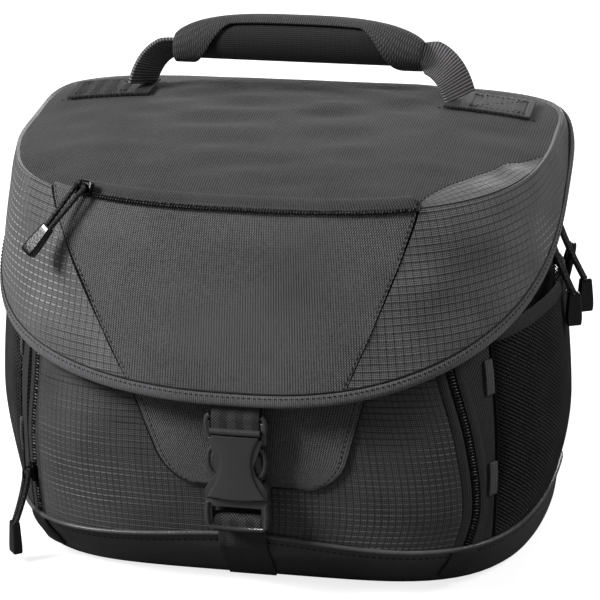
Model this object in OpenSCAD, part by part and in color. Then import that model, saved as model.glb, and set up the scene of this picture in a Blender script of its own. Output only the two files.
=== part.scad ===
// Shoulder bag for a camera, with a padded well, a front pocket, a lid with a drop flap,
// a side-release buckle, net side pockets and a carrying handle.
// Millimetres, +Z up, front towards -Y, origin on the floor under the middle of the bag.

/* [Body] */
// Width of the walls at their widest
body_w = 284; // [260:1:310]
// Width of the floor where it meets the rounded lower edge
floor_w = 268; // [250:1:276]
// Width of the walls at the rim
rim_w = 264; // [245:1:275]
// From the middle forward to the front edge of the floor
floor_front = 61; // [55:1:70]
// From the middle forward to the pocket face at the base piping
foot_front = 85; // [78:1:92]
// From the middle forward to the belly of the front pocket
belly_front = 89; // [82:1:94]
// From the middle forward to the top of the front pocket
pocket_front = 78; // [68:1:88]
// From the middle back to the back panel
back_reach = 102; // [90:1:115]
// How far behind the middle the bag is widest
wide_y = 45; // [30:1:55]
// Height where the front pocket stands out most
belly_z = 70; // [55:1:90]
// Height of the front pocket
pocket_z = 166; // [150:1:178]
// Thickness of the outer fabric with its backing
wall_t = 2.5; // [1.5:0.1:3.5]
// Width of the front pocket's middle panel at its top
panel_w = 116; // [90:1:130]
// Width of the front pocket's middle panel at its foot
panel_foot_w = 84; // [70:1:100]
// Height of the middle panel's foot
panel_foot_z = 61; // [50:1:80]
// How much further round the corner the left front zip sits, as an angle
left_turn = 6; // [0:0.5:7]

/* [Base] */
// Height of the base panel at the sides
base_h = 26; // [18:1:34]
// How much higher the base panel is at the middle of the front
base_rise = 7; // [0:1:12]
// Thickness of the base panel
tray_t = 3; // [2:0.1:4]
// Diameter of the piping
pipe_d = 3.2; // [2:0.1:5]

/* [Padded well] */
// From the middle forward to the padded front wall
well_front = 38; // [25:1:50]
// Thickness of the foam boards
foam_t = 6; // [4:0.5:9]
// Thickness of the lining
lining_t = 1.2; // [0.8:0.1:2]
// Thickness of the stiffening board
board_t = 2; // [1:0.5:4]
// Thickness of a divider
divider_t = 8; // [5:0.5:12]
// Height of a divider
divider_h = 138; // [100:1:160]
// Distance of a divider from the middle
divider_x = 46; // [38:1:60]

/* [Lid and flap] */
// Width of the lid at its upper edge
lid_w = 280; // [268:1:288]
// From the middle forward to the upper front edge of the lid
lid_front = 80; // [72:1:88]
// Height of the lid's rear edge
lid_rear_z = 225; // [215:1:236]
// Height of the lid's upper front edge
lid_front_z = 206; // [198:1:212]
// Rise of the padded top over its edge
dome_h = 9; // [4:1:14]
// Thickness of the padded top
lid_t = 8; // [5:0.5:11]
// Width of the flap at its lower edge
flap_w = 299; // [290:1:310]
// From the middle forward to the flap's lower edge
flap_front = 103; // [99:1:112]
// Height of the flap's lower edge at the middle
flap_low_z = 108; // [98:1:118]
// How much higher the flap's edge sits on the right side than on the left
flap_skew = 16; // [0:1:20]
// Thickness of the flap
flap_t = 3; // [2:0.1:4]
// Width of the edge binding
bind_w = 7.5; // [5:0.5:10]
// Width of the zip tape
tape_w = 9; // [6:0.5:12]

/* [Side pockets] */
// Height of the net pocket's mouth
pocket_mouth_z = 142; // [120:1:150]
// How far the net stands out from the side
pocket_bulge = 13; // [10:0.5:16]
// Thickness of the net
net_t = 1.2; // [0.8:0.1:2]
// Width of the elastic hem
hem_w = 8; // [5:0.5:12]

/* [Handle] */
// Distance between the sewn ends of the handle
handle_span = 172; // [150:1:190]
// From the middle back to the handle
handle_y = 58; // [45:1:65]
// Length of the padded grip
grip_l = 136; // [115:1:145]
// Thickness of the grip at its middle
grip_d = 24; // [18:1:28]
// Width of the grip
grip_w = 27; // [22:1:32]
// Height of the grip's underside over the turning point of its legs
handle_rise = 2.5; // [1:0.5:14]
// Width of the handle webbing
handle_web_w = 25; // [18:1:30]

/* [Buckle and strap] */
// Width of the closure webbing
strap_w = 25; // [20:1:30]
// Thickness of the webbing
web_t = 1.6; // [1.2:0.1:2]
// Thickness of the buckle
buckle_t = 9; // [8:0.5:10]
// Height of the buckle's mouth above the floor
mouth_z = 58; // [54:1:62]
// Length of the socket from its mouth to its shoulder
socket_l = 33; // [28:1:34]
// Diameter of the bars that hold webbing
bar_d = 4; // [3:0.1:5]

/* [Strap rings] */
// Height of the strap rings' bar
ring_z = 126; // [110:1:135]
// From the middle back to the strap rings
ring_y = 66; // [60:1:74]
// Thickness of the ring
ring_d = 4.4; // [3.5:0.1:5.5]

/* [Zip pulls] */
// Diameter of the pull cord
cord_d = 2.6; // [2:0.1:3]
// Length of the lid pull's cord loop
cord_l = 28; // [22:1:40]
// Length of the moulded end
tip_l = 18; // [14:1:22]
// Width of the moulded end
tip_w = 8.6; // [7:0.2:11]
// Length of a zip slider
slider_l = 10; // [8:0.5:13]
// Width of a zip slider
slider_w = 7; // [6:0.5:9]
// Height of a zip slider's body
slider_h = 3; // [2.5:0.1:3.5]

/* [Hidden] */

// Thickness of a panel sewn over another
patch_t = 1;
patch_gap = 0.4;
// Clearances: between sewn pieces, between pieces that move, and under the lid
sew_gap = 0.15;
run_gap = 0.3;
lid_gap = 1;

// Squareness of the outlines' corners: a larger number is squarer
wall_front_n = 5;
wall_back_n = 4;
well_n = 6;
lid_front_n = 2.7;
lid_back_n = 4.6;
// How much the walls draw in towards the front, as a share of their width
wall_taper = 0.14;

// Angles, seen from the widest point, where the wall's panels meet on the right side
zip_a0 = -48;
zip_a1 = -43;
gusset_a = -31;
corner_a = 22;
// A sewing gap turned into an angle at the wall
seam_a = sew_gap / body_w * 2 * 180 / PI;

lid_mid = 28;
lid_back = back_reach - 2;
rim_drop = lid_t + lining_t + lid_gap;
// Angles on the lid where the flap's seams start and end, and where the wings end behind
seam_top_a = -48;
left_seam_top_a = -41;
seam_low_a = -66;
wing_end_a = 40;
// Angle on the lid where the flap's lower edge has risen to the hinge
wing_rise_a = 22;

well_side_gap = 4.5;
well_back_gap = 2;
well_half = min(floor_w / 2 - tray_t, rim_w / 2 - wall_t) - well_side_gap;
well_back = back_reach - tray_t - well_back_gap;
well_mid = (well_back - well_front) / 2;
foam_z = tray_t + board_t;
lining_z = foam_z + foam_t;
ring_steps = 64;

function mix(a, b, t) = a + (b - a) * t;
function flat(rows) = [for (row = rows) each row];

// A soft rectangle in plan, by its polar angle about [0, yc]
function soft(th, a, yf, yb, yc, nf, nb, out = 0, taper = 0) =
    let (s = sin(th), b = s < 0 ? yc - yf : yb - yc, n = s < 0 ? nf : nb,
         r = pow(pow(abs(cos(th)) / a, n) + pow(abs(s) / b, n), -1 / n) + out,
         q = s < 0 ? r * s / b : 0)
    [r * cos(th) * (1 - taper * q * q), yc + r * s];

// Heights on the lid: its upper edge, its domed top, the rim under it and the flap's lower edge
function edge_z(y) = mix(lid_front_z, lid_rear_z, (y + lid_front) / (lid_back + lid_front));
function rim_z(y) = edge_z(y) - rim_drop;
// The lid turns on a line just behind and above the back panel's top edge
hinge_y = back_reach + run_gap;
hinge_z = rim_z(lid_back) + run_gap;
function low_z(th) =
    let (s = min(1, (1 + sin(th)) / (1 + sin(wing_rise_a))))
    mix(flap_low_z, hinge_z + run_gap, pow(s, 1.25)) + flap_skew / 2 * sin(180 * s) * cos(th);
function top_share(x, y) =
    let (b = y < lid_mid ? lid_mid + lid_front : lid_back - lid_mid,
         n = y < lid_mid ? lid_front_n : lid_back_n)
    pow(pow(abs(x) / (lid_w / 2), n) + pow(abs(y - lid_mid) / b, n), 1 / n);
function top_z(x, y) = edge_z(y) + dome_h * (1 - pow(min(1, top_share(x, y)), 2.6));

// The outer face of the walls, by angle and height, rounded under at the floor
edge_r = 6;
function wall_half(z) =
    lookup(z, [[0, floor_w / 2], [edge_r, floor_w / 2 + edge_r],
        [base_h, body_w / 2], [belly_z, body_w / 2], [lid_front_z, rim_w / 2]]);
function wall_fore(z) =
    lookup(z, [[0, floor_front], [edge_r / 2, floor_front + edge_r], [2 * edge_r, floor_front + 2.2 * edge_r],
        [base_h, foot_front], [belly_z, belly_front], [pocket_z, pocket_front]]);
function wall_pt(th, z, out = 0) =
    let (p = soft(th, wall_half(z), -wall_fore(z), back_reach, wide_y,
                  wall_front_n, wall_back_n, out, wall_taper))
    [p.x, p.y, z];
function pipe_z(th) = base_h + base_rise * pow(max(0, -sin(th)), 8);
function wall_rim(th) = rim_z(wall_pt(th, lid_front_z).y);
// Heading of the wall's outward normal, and its lean, at an angle and a height
function wall_heading(th, z) =
    let (d = wall_pt(th + 1, z) - wall_pt(th - 1, z)) atan2(-d.x, d.y);
function wall_lean(th, z) =
    let (d = wall_pt(th, z + 5) - wall_pt(th, z - 5), side = d.x * cos(th) < 0 ? 1 : -1)
    atan2(norm([d.x, d.y]), d.z) * side;

// The padded well inside the walls
function well_pt(th, z, out = 0) =
    let (p = soft(th, well_half, -well_front, well_back, well_mid, well_n, well_n, out))
    [p.x, p.y, z];

// The outer face of the flap and its wings: t runs from the lid's upper edge to the lower edge
function lid_plan(th, t, out = 0) =
    soft(th, mix(lid_w, flap_w, pow(t, 0.8)) / 2, -mix(lid_front, flap_front, pow(t, 0.6)),
         lid_back + 1.5 * t, lid_mid, lid_front_n, lid_back_n, out);
function lid_pt(th, t, out = 0) =
    let (p = lid_plan(th, t, out)) [p.x, p.y, mix(edge_z(lid_plan(th, 0).y), low_z(th), t)];
function flap_h(th) = edge_z(lid_plan(th, 0).y) - low_z(th);
function bind_t(th) = 1 - min(0.6, bind_w / flap_h(th));

// A closed skin between two matching faces, each a function of [0..1, 0..1]
module slab(outer, inner, nu, nv) {
    row = nv + 1;
    back = (nu + 1) * row;
    pts = [for (f = [outer, inner]) for (i = [0 : nu]) for (j = [0 : nv]) f(i / nu, j / nv)];
    faces = flat([
        for (i = [0 : nu - 1]) for (j = [0 : nv - 1])
            let (a = i * row + j, b = a + 1, c = a + row + 1, d = a + row)
            [[a, b, c], [a, c, d], [back + a, back + c, back + b], [back + a, back + d, back + c]],
        for (j = [0 : nv - 1])
            let (a = j, b = j + 1, d = nu * row + j, c = d + 1)
            [[b, a, back + a], [b, back + a, back + b], [d, c, back + c], [d, back + c, back + d]],
        for (i = [0 : nu - 1])
            let (a = i * row, d = a + row, b = a + nv, c = d + nv)
            [[a, d, back + d], [a, back + d, back + a], [c, b, back + b], [c, back + b, back + c]]]);
    polyhedron(pts, faces);
}

// A solid through a stack of rings with the same number of points, capped at both ends or looped
module ring_solid(rings, looped = false) {
    n = len(rings[0]);
    m = len(rings);
    first = [for (k = [0 : 2]) [for (p = rings[0]) p[k]] * [for (p = rings[0]) 1] / n];
    last = [for (k = [0 : 2]) [for (p = rings[m - 1]) p[k]] * [for (p = rings[m - 1]) 1] / n];
    sides = flat([
        for (j = [0 : looped ? m - 1 : m - 2]) for (i = [0 : n - 1])
            let (a = j * n + i, d = j * n + (i + 1) % n,
                 b = (j + 1) % m * n + i, c = (j + 1) % m * n + (i + 1) % n)
            [[a, b, c], [a, c, d]]]);
    caps = looped ? [] : flat([
        for (i = [0 : n - 1])
            [[m * n, i, (i + 1) % n], [m * n + 1, (m - 1) * n + (i + 1) % n, (m - 1) * n + i]]]);
    polyhedron(concat(flat(rings), looped ? [] : [first, last]), concat(sides, caps));
}
function angles(n = ring_steps) = [for (i = [0 : n - 1]) i * 360 / n];

// A piece of wall between two angles, from the base piping up to a given height
module wall_strip(th0, th1, nu, top, nv = 7, out = 0, thick = wall_t) {
    a0 = th0 + seam_a;
    a1 = th1 - seam_a;
    function at(u, v, off) =
        let (th = mix(a0, a1, u)) wall_pt(th, mix(pipe_z(th) + sew_gap, top(th), v), off);
    slab(function(u, v) at(u, v, out), function(u, v) at(u, v, out - thick), nu, nv);
}
module both_sides() {
    children();
    mirror([1, 0, 0]) children();
}

charcoal = [0.21, 0.20, 0.21];
ripstop = [0.27, 0.26, 0.27];
black = [0.07, 0.07, 0.07];
leather = [0.12, 0.12, 0.12];
tape = [0.16, 0.16, 0.16];
grey = [0.35, 0.35, 0.36];
foam = [0.45, 0.45, 0.47];
gloss = [0.09, 0.09, 0.10];

// Base
module base_tray() {
    levels = [0, edge_r / 2, edge_r, 2 * edge_r];
    top = len(levels) - 1;
    color(leather) ring_solid(concat(
        [for (z = levels) [for (th = angles()) wall_pt(th, z)]],
        [[for (th = angles()) wall_pt(th, pipe_z(th))]],
        [[for (th = angles()) wall_pt(th, pipe_z(th), -tray_t)]],
        [for (i = [top : -1 : 1]) [for (th = angles()) wall_pt(th, levels[i], -tray_t)]]));
}
module base_piping() {
    r = pipe_d / 2;
    color(black) ring_solid([for (th = angles()) [for (a = angles(6))
        wall_pt(th, pipe_z(th), r + sew_gap + r * sin(a)) + [0, 0, r * cos(a)]]], looped = true);
}
module base_board() {
    color(black) ring_solid([for (z = [tray_t, foam_z])
        [for (th = well_angles) well_pt(th, z, -sew_gap)]]);
}
module base_foam() {
    color(foam) ring_solid([for (z = [foam_z + sew_gap, lining_z])
        [for (th = well_angles) well_pt(th, z, -foam_t - sew_gap)]]);
}

// Padded well: its pieces share one set of angles, so that their faces run side by side
well_step = 9;
well_turn = 3;
well_angles = angles(360 / well_step);
// The angle at a share of the way between two steps, drawn in by a seam at both ends
function well_th(from, to, u) = well_step * mix(from, to, u) + seam_a * (1 - 2 * u);
module well_wall(from, to, out0, out1, z0, drop) {
    function at(u, v, out) =
        let (p = well_pt(well_th(from, to, u), 0, out)) [p.x, p.y, mix(z0, rim_z(p.y) - drop, v)];
    slab(function(u, v) at(u, v, out0), function(u, v) at(u, v, out1), to - from, 2);
}
half_steps = 180 / well_step;
module foam_front() color(foam) well_wall(well_turn - half_steps, -well_turn, 0, -foam_t, foam_z, lining_t);
module foam_back() color(foam) well_wall(well_turn, half_steps - well_turn, 0, -foam_t, foam_z, lining_t);
module foam_sides() color(foam) both_sides() well_wall(-well_turn, well_turn, 0, -foam_t, foam_z, lining_t);
module lining() {
    in0 = -foam_t - 2 * sew_gap;
    in1 = in0 - lining_t;
    function hem(th) = rim_z(well_pt(th, 0, in0).y) - lining_t;
    function level(share, out) =
        [for (th = well_angles) well_pt(th, mix(lining_z + sew_gap, hem(th), share), out)];
    color(grey) ring_solid([level(0, in0), level(0.5, in0), level(1, in0), level(1, in1), level(0.5, in1),
        [for (th = well_angles) well_pt(th, lining_z + sew_gap + lining_t, in1)]]);
}
module front_wall() color(charcoal)
    well_wall(well_turn - half_steps, -well_turn, sew_gap + lining_t, sew_gap, tray_t + sew_gap, 0);

// Dividers stand on the lining and reach from wall to wall
divider_y0 = -well_front + foam_t + lining_t + 1;
divider_y1 = well_back - foam_t - lining_t - 1;
module divider(x) {
    corner = 20;
    z0 = lining_z + lining_t + sew_gap + run_gap;
    color(foam) translate([x - divider_t / 2, 0, 0]) rotate([90, 0, 90]) linear_extrude(divider_t)
        difference() {
            translate([divider_y0, z0]) square([divider_y1 - divider_y0, divider_h]);
            for (side = [0, 1])
                translate([side == 0 ? divider_y0 : divider_y1 - corner, z0 + divider_h - corner])
                    difference() {
                        translate([side == 0 ? -1 : 0, 0]) square([corner + 1, corner + 1]);
                        translate([side == 0 ? corner : 0, 0]) circle(r = corner, $fn = 48);
                    }
        }
}
module divider_left() divider(-divider_x);
module divider_right() divider(divider_x);

// Front pocket
left_zip_a0 = zip_a0 + left_turn;
left_zip_a1 = zip_a1 + left_turn;
module front_panel() color(ripstop) wall_strip(-180 - left_zip_a0, zip_a0, 16, function(th) pocket_z);
module front_patch() {
    corner = 0.14;
    corner_w = 0.72;
    function rounded(k) = k < 1 ? mix(corner_w, 1, sqrt(k * (2 - k))) : 1;
    function half(v) = mix(panel_foot_w, panel_w, v) / 2 * rounded(v / corner);
    function at(u, v, out) =
        let (z = mix(panel_foot_z, pocket_z, v), x = half(v) * (2 * u - 1),
             th = -90 + atan2(x, wide_y + wall_fore(z)) / (1 - wall_taper * 0.9))
        wall_pt(th, z, out);
    function rise(j) = pow(j, 1.5);
    color(charcoal) slab(
        function(u, v) at(u, rise(v), patch_gap + patch_t),
        function(u, v) at(u, rise(v), patch_gap), 12, 8);
}
module front_zip() {
    color(tape) {
        wall_strip(zip_a0, zip_a1, 1, function(th) pocket_z);
        mirror([1, 0, 0]) wall_strip(left_zip_a0, left_zip_a1, 1, function(th) pocket_z);
    }
}
module pocket_top() {
    a0 = -180 - left_zip_a0;
    a1 = zip_a0;
    z0 = pocket_z + sew_gap;
    function back(u) =
        well_pt(well_th(well_turn - half_steps, -well_turn, u), z0 + pocket_slope, 2 * run_gap + lining_t);
    function edge(u) = wall_pt(mix(a0, a1, u), pocket_z, 0) + [0, 0, sew_gap];
    color(charcoal) slab(
        function(u, v) mix(edge(u), back(u), v) + [0, 0, wall_t],
        function(u, v) mix(edge(u), back(u), v), half_steps - 2 * well_turn, 2);
}
// The gussets' upper edge climbs from the front pocket to the rim of the well
pocket_slope = 8;
function gusset_top(th, front) =
    mix(pocket_z + pocket_slope, wall_rim(gusset_a), max(0, (th - front) / (gusset_a - front)));
module gusset_right() color(tape) wall_strip(zip_a1, gusset_a, 4, function(th) gusset_top(th, zip_a1));
module gusset_left() color(tape) mirror([1, 0, 0])
    wall_strip(left_zip_a1, gusset_a, 3, function(th) gusset_top(th, left_zip_a1));
module gusset_tabs() {
    tab_l = 18;
    tab_a = 2;
    tab_heights = [52, 106];
    function at(u, z, out) = wall_pt(mix(gusset_a - tab_a, gusset_a - seam_a, u), z, out);
    color(grey) both_sides() for (z = tab_heights)
        slab(function(u, v) at(u, z + tab_l * v, sew_gap + web_t),
             function(u, v) at(u, z + tab_l * v, sew_gap), 1, 2);
}
module zip_end_tab() {
    low = 2 * edge_r;
    high = base_h - 3;
    module tab(a0, a1) slab(
        function(u, v) wall_pt(mix(a0, a1, u), mix(low, high, v), run_gap + web_t),
        function(u, v) wall_pt(mix(a0, a1, u), mix(low, high, v), run_gap), 4, 3);
    color(leather) {
        tab(zip_a0, zip_a1);
        mirror([1, 0, 0]) tab(left_zip_a0, left_zip_a1);
    }
}

// Sides and back
module side_panel() wall_strip(gusset_a, corner_a, 10, function(th) wall_rim(th));
module side_panel_right() color(black) side_panel();
module side_panel_left() color(black) mirror([1, 0, 0]) side_panel();
module back_panel() color(charcoal) wall_strip(corner_a, 180 - corner_a, 24, function(th) wall_rim(th), 5);

// Net pockets
net_a0 = gusset_a + 1;
net_a1 = 2;
net_z0 = base_h + pipe_d / 2 + sew_gap;
// The net fills out to its belly half way up and is gathered by the elastic at its mouth
net_gather = 0.05;
mouth_dip = 10;
function net_bulge(u, v) = pocket_bulge * pow(sin(180 * u), 0.6)
    * (v < 0.5 ? pow(sin(180 * v), 0.8) : 1 - net_gather * pow(2 * v - 1, 2));
function net_mouth(u) = pocket_mouth_z - mouth_dip * pow(1 - u, 2);
function net_pt(u, v, z, out) = wall_pt(mix(net_a0, net_a1, u), z, sew_gap + net_bulge(u, v) + out);
module side_pocket() slab(
    function(u, v) net_pt(u, v, mix(net_z0, net_mouth(u), v), net_t),
    function(u, v) net_pt(u, v, mix(net_z0, net_mouth(u), v), 0), 14, 8);
module side_pocket_right() color(black) side_pocket();
module side_pocket_left() color(black) mirror([1, 0, 0]) side_pocket();
module pocket_hems() {
    proud = 0.6;
    color(grey) both_sides() slab(
        function(u, v) net_pt(u, 1, net_mouth(u) + sew_gap + hem_w * v, net_t + proud),
        function(u, v) net_pt(u, 1, net_mouth(u) + sew_gap + hem_w * v, 0), 14, 1);
}

// Strap rings: a bar held in a webbing loop on each side
ring_a = atan2(ring_y - wide_y, body_w / 2);
ring_bar_x = sew_gap * 3 + web_t + run_gap + ring_d / 2;
ring_in = strap_w / 2 + ring_d / 2 + 0.6;
ring_arm = 6;
ring_tilt = 18;
module ring_place() {
    translate(wall_pt(ring_a, ring_z)) rotate([0, 0, wall_heading(ring_a, ring_z)])
        rotate([0, -wall_lean(ring_a, ring_z), 0]) children();
}
module ring_web_one() {
    r0 = ring_d / 2 + run_gap;
    r1 = r0 + web_t;
    drop = 30;
    loop_l = 9;
    ring_place() translate([0, strap_w / 2, 0]) rotate([90, 0, 0]) linear_extrude(strap_w) {
        difference() {
            union() {
                translate([ring_bar_x, 0]) circle(r = r1, $fn = 48);
                translate([ring_bar_x - r1, -loop_l - web_t]) square([2 * r1, loop_l + web_t]);
            }
            translate([ring_bar_x, 0]) circle(r = r0, $fn = 48);
            translate([ring_bar_x - r0, -loop_l]) square([2 * r0, loop_l]);
        }
        translate([ring_bar_x - r1, -drop]) square([2 * web_t, drop - loop_l - web_t]);
    }
}
module ring_webbing() color(grey) both_sides() ring_web_one();
module strap_ring() {
    r = ring_d / 2;
    ring_place() translate([ring_bar_x, 0, 0]) rotate([0, ring_tilt, 0]) {
        rotate([90, 0, 0]) cylinder(r = r, h = 2 * ring_in, center = true, $fn = 32);
        for (s = [-1, 1]) translate([0, s * ring_in, 0]) cylinder(r = r, h = ring_arm, $fn = 32);
        for (s = [-1, 1]) translate([0, s * ring_in, 0]) sphere(r = r, $fn = 32);
        translate([0, 0, ring_arm]) rotate([90, 0, 90]) rotate_extrude(angle = 180, $fn = 64)
            translate([ring_in, 0]) circle(r = r, $fn = 32);
    }
}
module strap_ring_right() color(gloss) strap_ring();
module strap_ring_left() color(gloss) mirror([1, 0, 0]) strap_ring();

// Main zip under the flap, on the sides and across the front wall
main_zip_drop = 4;
main_zip_gap = 2 * run_gap;
module main_zip() {
    a0 = gusset_a + 1;
    a1 = corner_a - 4;
    inner = main_zip_gap;
    function side(u, v, out) =
        let (th = mix(a0, a1, u)) wall_pt(th, wall_rim(th) - main_zip_drop - 2 * tape_w * (1 - v), out);
    function front(u, v, out) =
        let (p = well_pt(well_th(well_turn - half_steps, -well_turn, u), 0, inner + lining_t + out))
        [p.x, p.y, rim_z(p.y) - main_zip_drop - 2 * tape_w * (1 - v)];
    color(tape) {
        both_sides() slab(function(u, v) side(u, v, inner + tape_t), function(u, v) side(u, v, inner), 20, 1);
        slab(function(u, v) front(u, v, tape_t), function(u, v) front(u, v, 0),
             half_steps - 2 * well_turn, 1);
    }
}

// Lid
module lid_shell(over, under) {
    shares = [0.25, 0.5, 0.75, 0.9, 1];
    inset = -flap_t - run_gap;
    function at(th, k, drop) =
        let (p = lid_plan(th, 0, inset), x = p.x * k, y = lid_mid + (p.y - lid_mid) * k)
        [x, y, top_z(x, y) - drop];
    ring_solid(concat(
        [for (k = shares) [for (th = angles(56)) at(th, k, under)]],
        [for (i = [len(shares) - 1 : -1 : 0]) [for (th = angles(56)) at(th, shares[i], over)]]));
}
module lid_top() color(charcoal) lid_shell(0, lid_t);
module lid_lining() color(grey) lid_shell(lid_t + sew_gap, lid_t + sew_gap + lining_t);
module flap_strip(edge0, edge1, nu, nv = 6, low = function(th) bind_t(th)) {
    slab(function(u, v) let (th = mix(edge0(v), edge1(v), u)) lid_pt(th, v * low(th)),
         function(u, v) let (th = mix(edge0(v), edge1(v), u)) lid_pt(th, v * low(th), -flap_t), nu, nv);
}
function seam_th(t) = mix(seam_top_a, seam_low_a, t);
function left_seam_th(t) = -180 - mix(left_seam_top_a, seam_low_a, t);
module flap_center() color(charcoal) flap_strip(
    function(t) left_seam_th(t) + seam_a, function(t) seam_th(t) - seam_a, 10);
module flap_wing_right() color(ripstop) flap_strip(
    function(t) seam_th(t) + seam_a, function(t) wing_end_a - seam_a, 18);
module flap_wing_left() color(ripstop) flap_strip(
    function(t) -180 - wing_end_a + seam_a, function(t) left_seam_th(t) - seam_a, 18);
module hinge_band() color(charcoal) flap_strip(
    function(t) wing_end_a + seam_a, function(t) 180 - wing_end_a - seam_a, 10, 2, function(th) 1);
module flap_binding() {
    proud = 0.7;
    steps = 64;
    function rim(i, out, low) =
        let (th = mix(-180 - wing_end_a, wing_end_a, i / steps), p = lid_pt(th, low ? 1 : bind_t(th), out))
        low ? p : p - [0, 0, 3 * run_gap];
    inner = -flap_t - proud;
    color(tape) ring_solid([for (i = [0 : steps])
        [rim(i, proud, false), rim(i, proud, true), rim(i, inner, true), rim(i, inner, false)]]);
}
// The lid's zip is folded over its upper front edge
tape_t = 1.2;
function zip_pt(th, v, off) =
    v < 0.4 ? lid_pt(th, tape_w / 2 / flap_h(th), off)
    : v < 0.6 ? lid_pt(th, 0, off) + [0, 0, off]
    : let (p = lid_plan(th, 0, -tape_w / 2)) [p.x, p.y, top_z(p.x, p.y) + off];
module lid_zip() {
    a0 = -180 - seam_top_a;
    a1 = seam_top_a;
    color(tape) slab(
        function(u, v) zip_pt(mix(a0, a1, u), v, sew_gap + tape_t),
        function(u, v) zip_pt(mix(a0, a1, u), v, sew_gap), 18, 2);
}

// Handle
handle_x = handle_span / 2;
grip_end = 10;
// The legs' round ends turn just over the sewn bands
handle_z = top_z(handle_x, handle_y) + web_t + sew_gap + 2 * run_gap + handle_web_w / 2;
grip_low_z = handle_z + handle_rise;
module handle_tabs() {
    tab_l = 40;
    tab_in = 6;
    function at(u, v, off) =
        let (x = handle_x - tab_in + tab_l * u, y = handle_y + (v - 0.5) * handle_web_w)
        [x, y, top_z(x, y) + off];
    color(tape) both_sides() slab(
        function(u, v) at(u, v, sew_gap + web_t), function(u, v) at(u, v, sew_gap), 6, 2);
}
function grip_rad(s) = mix(grip_end / 2, grip_d / 2, pow(max(0, 1 - pow(abs(s), 3)), 0.6));
function grip_mid(s) = grip_low_z + grip_rad(s);
module handle_grip() {
    n = 16;
    color(black) ring_solid([for (i = [0 : n]) let (s = 2 * i / n - 1, r = grip_rad(s)) [for (a = angles(12))
        [s * grip_l / 2, handle_y + r * grip_w / grip_d * cos(a), grip_mid(s) + r * sin(a)]]]);
}
module handle_webbing() {
    t = 3;
    low = handle_z - handle_web_w / 2;
    x0 = handle_x;
    x1 = grip_l / 2 + sew_gap;
    zt = grip_mid(1);
    xm = mix(x1, x0, 0.75);
    zm = mix(low, zt, 0.7);
    color(tape) both_sides() intersection() {
        translate([0, handle_y + handle_web_w / 2, 0]) rotate([90, 0, 0]) linear_extrude(handle_web_w)
            polygon([[x0 - t / 2, low], [x0 + t / 2, low], [x0 + t / 2, mix(low, zt, 0.4)],
                [xm + t / 2, zm + t / 2], [x1, zt + t], [x1, zt],
                [xm - t / 2, zm - t / 2], [x0 - t / 2, mix(low, zt, 0.35)]]);
        translate([0, handle_y, handle_z]) rotate([0, 90, 0]) {
            cylinder(d = handle_web_w, h = handle_span, $fn = 64);
            translate([-handle_span, -handle_web_w / 2, 0]) cube([handle_span, handle_web_w, handle_span]);
        }
    }
}

// Buckle: the socket hangs from the flap, the plug sits on the closure strap
buckle_y = -belly_front - patch_t - web_t - 4 * run_gap - buckle_t / 2;
socket_top = mouth_z + socket_l;
bar_z = socket_top + bar_d / 2 + web_t + 1;
mouth_w = strap_w + 7;
waist_w = strap_w - 7;
room_w = strap_w + 2.4;
room_t = buckle_t - 4.4;
module upright(thick)
    translate([0, buckle_y + thick / 2, 0]) rotate([90, 0, 0]) linear_extrude(thick) children();
module bar_at(z) translate([1 - mouth_w / 2, buckle_y, z]) rotate([0, 90, 0])
    cylinder(d = bar_d, h = mouth_w - 2, $fn = 32);
module buckle_socket() {
    rail = 3;
    half = mouth_w / 2;
    color(gloss) difference() {
        union() {
            upright(buckle_t) polygon([
                [-half, mouth_z], [half, mouth_z], [half, mouth_z + 5], [half - 2, mouth_z + 9],
                [waist_w / 2 + 1, mouth_z + 14], [waist_w / 2, mouth_z + 18], [waist_w / 2 + 2, mouth_z + 23],
                [half - 2, socket_top], [2 - half, socket_top],
                [-waist_w / 2 - 2, mouth_z + 23], [-waist_w / 2, mouth_z + 18],
                [-waist_w / 2 - 1, mouth_z + 14], [2 - half, mouth_z + 9], [-half, mouth_z + 5]]);
            for (s = [-1, 1]) upright(buckle_t - 2)
                translate([s * (half - rail / 2) - rail / 2, socket_top - rail])
                    square([rail, bar_z - socket_top + bar_d + rail]);
            bar_at(bar_z);
        }
        translate([-room_w / 2, buckle_y - room_t / 2, mouth_z - 1]) cube([room_w, room_t, socket_l - 4]);
    }
}
module buckle_tab() {
    r0 = bar_d / 2 + run_gap;
    r1 = r0 + web_t;
    top = flap_low_z + 16;
    // The tab hangs from the inner face of the flap and loops round the socket's bar
    function inner_y(z) =
        let (t = (edge_z(-lid_front) - z) / flap_h(-90)) lid_plan(-90, t, -flap_t - 1).y + run_gap;
    color(tape) translate([-strap_w / 2, 0, 0]) rotate([90, 0, 90]) linear_extrude(strap_w) difference() {
        union() {
            translate([buckle_y, bar_z]) circle(r = r1, $fn = 48);
            polygon([[buckle_y - r1, bar_z], [buckle_y + r1, bar_z], [buckle_y + r1, bar_z + 5],
                [inner_y(top) + 2 * web_t, top], [inner_y(top), top], [inner_y(flap_low_z), flap_low_z]]);
        }
        translate([buckle_y, bar_z]) circle(r = r0, $fn = 48);
    }
}
plug_top = mouth_z - run_gap;
plug_h = 14;
plug_bar_z = plug_top - plug_h + bar_d / 2;
module buckle_plug() {
    half = mouth_w / 2;
    rail = 3.2;
    guide_w = 5;
    color(gloss) {
        difference() {
            upright(buckle_t - 1) translate([-half, plug_top - plug_h]) square([mouth_w, plug_h]);
            upright(buckle_t) translate([-half + rail, plug_top - plug_h - 1])
                square([mouth_w - 2 * rail, plug_h - 3]);
        }
        bar_at(plug_bar_z);
        upright(room_t - 2 * run_gap) translate([-guide_w / 2, plug_top]) square([guide_w, socket_l * 0.55]);
    }
}
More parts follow.
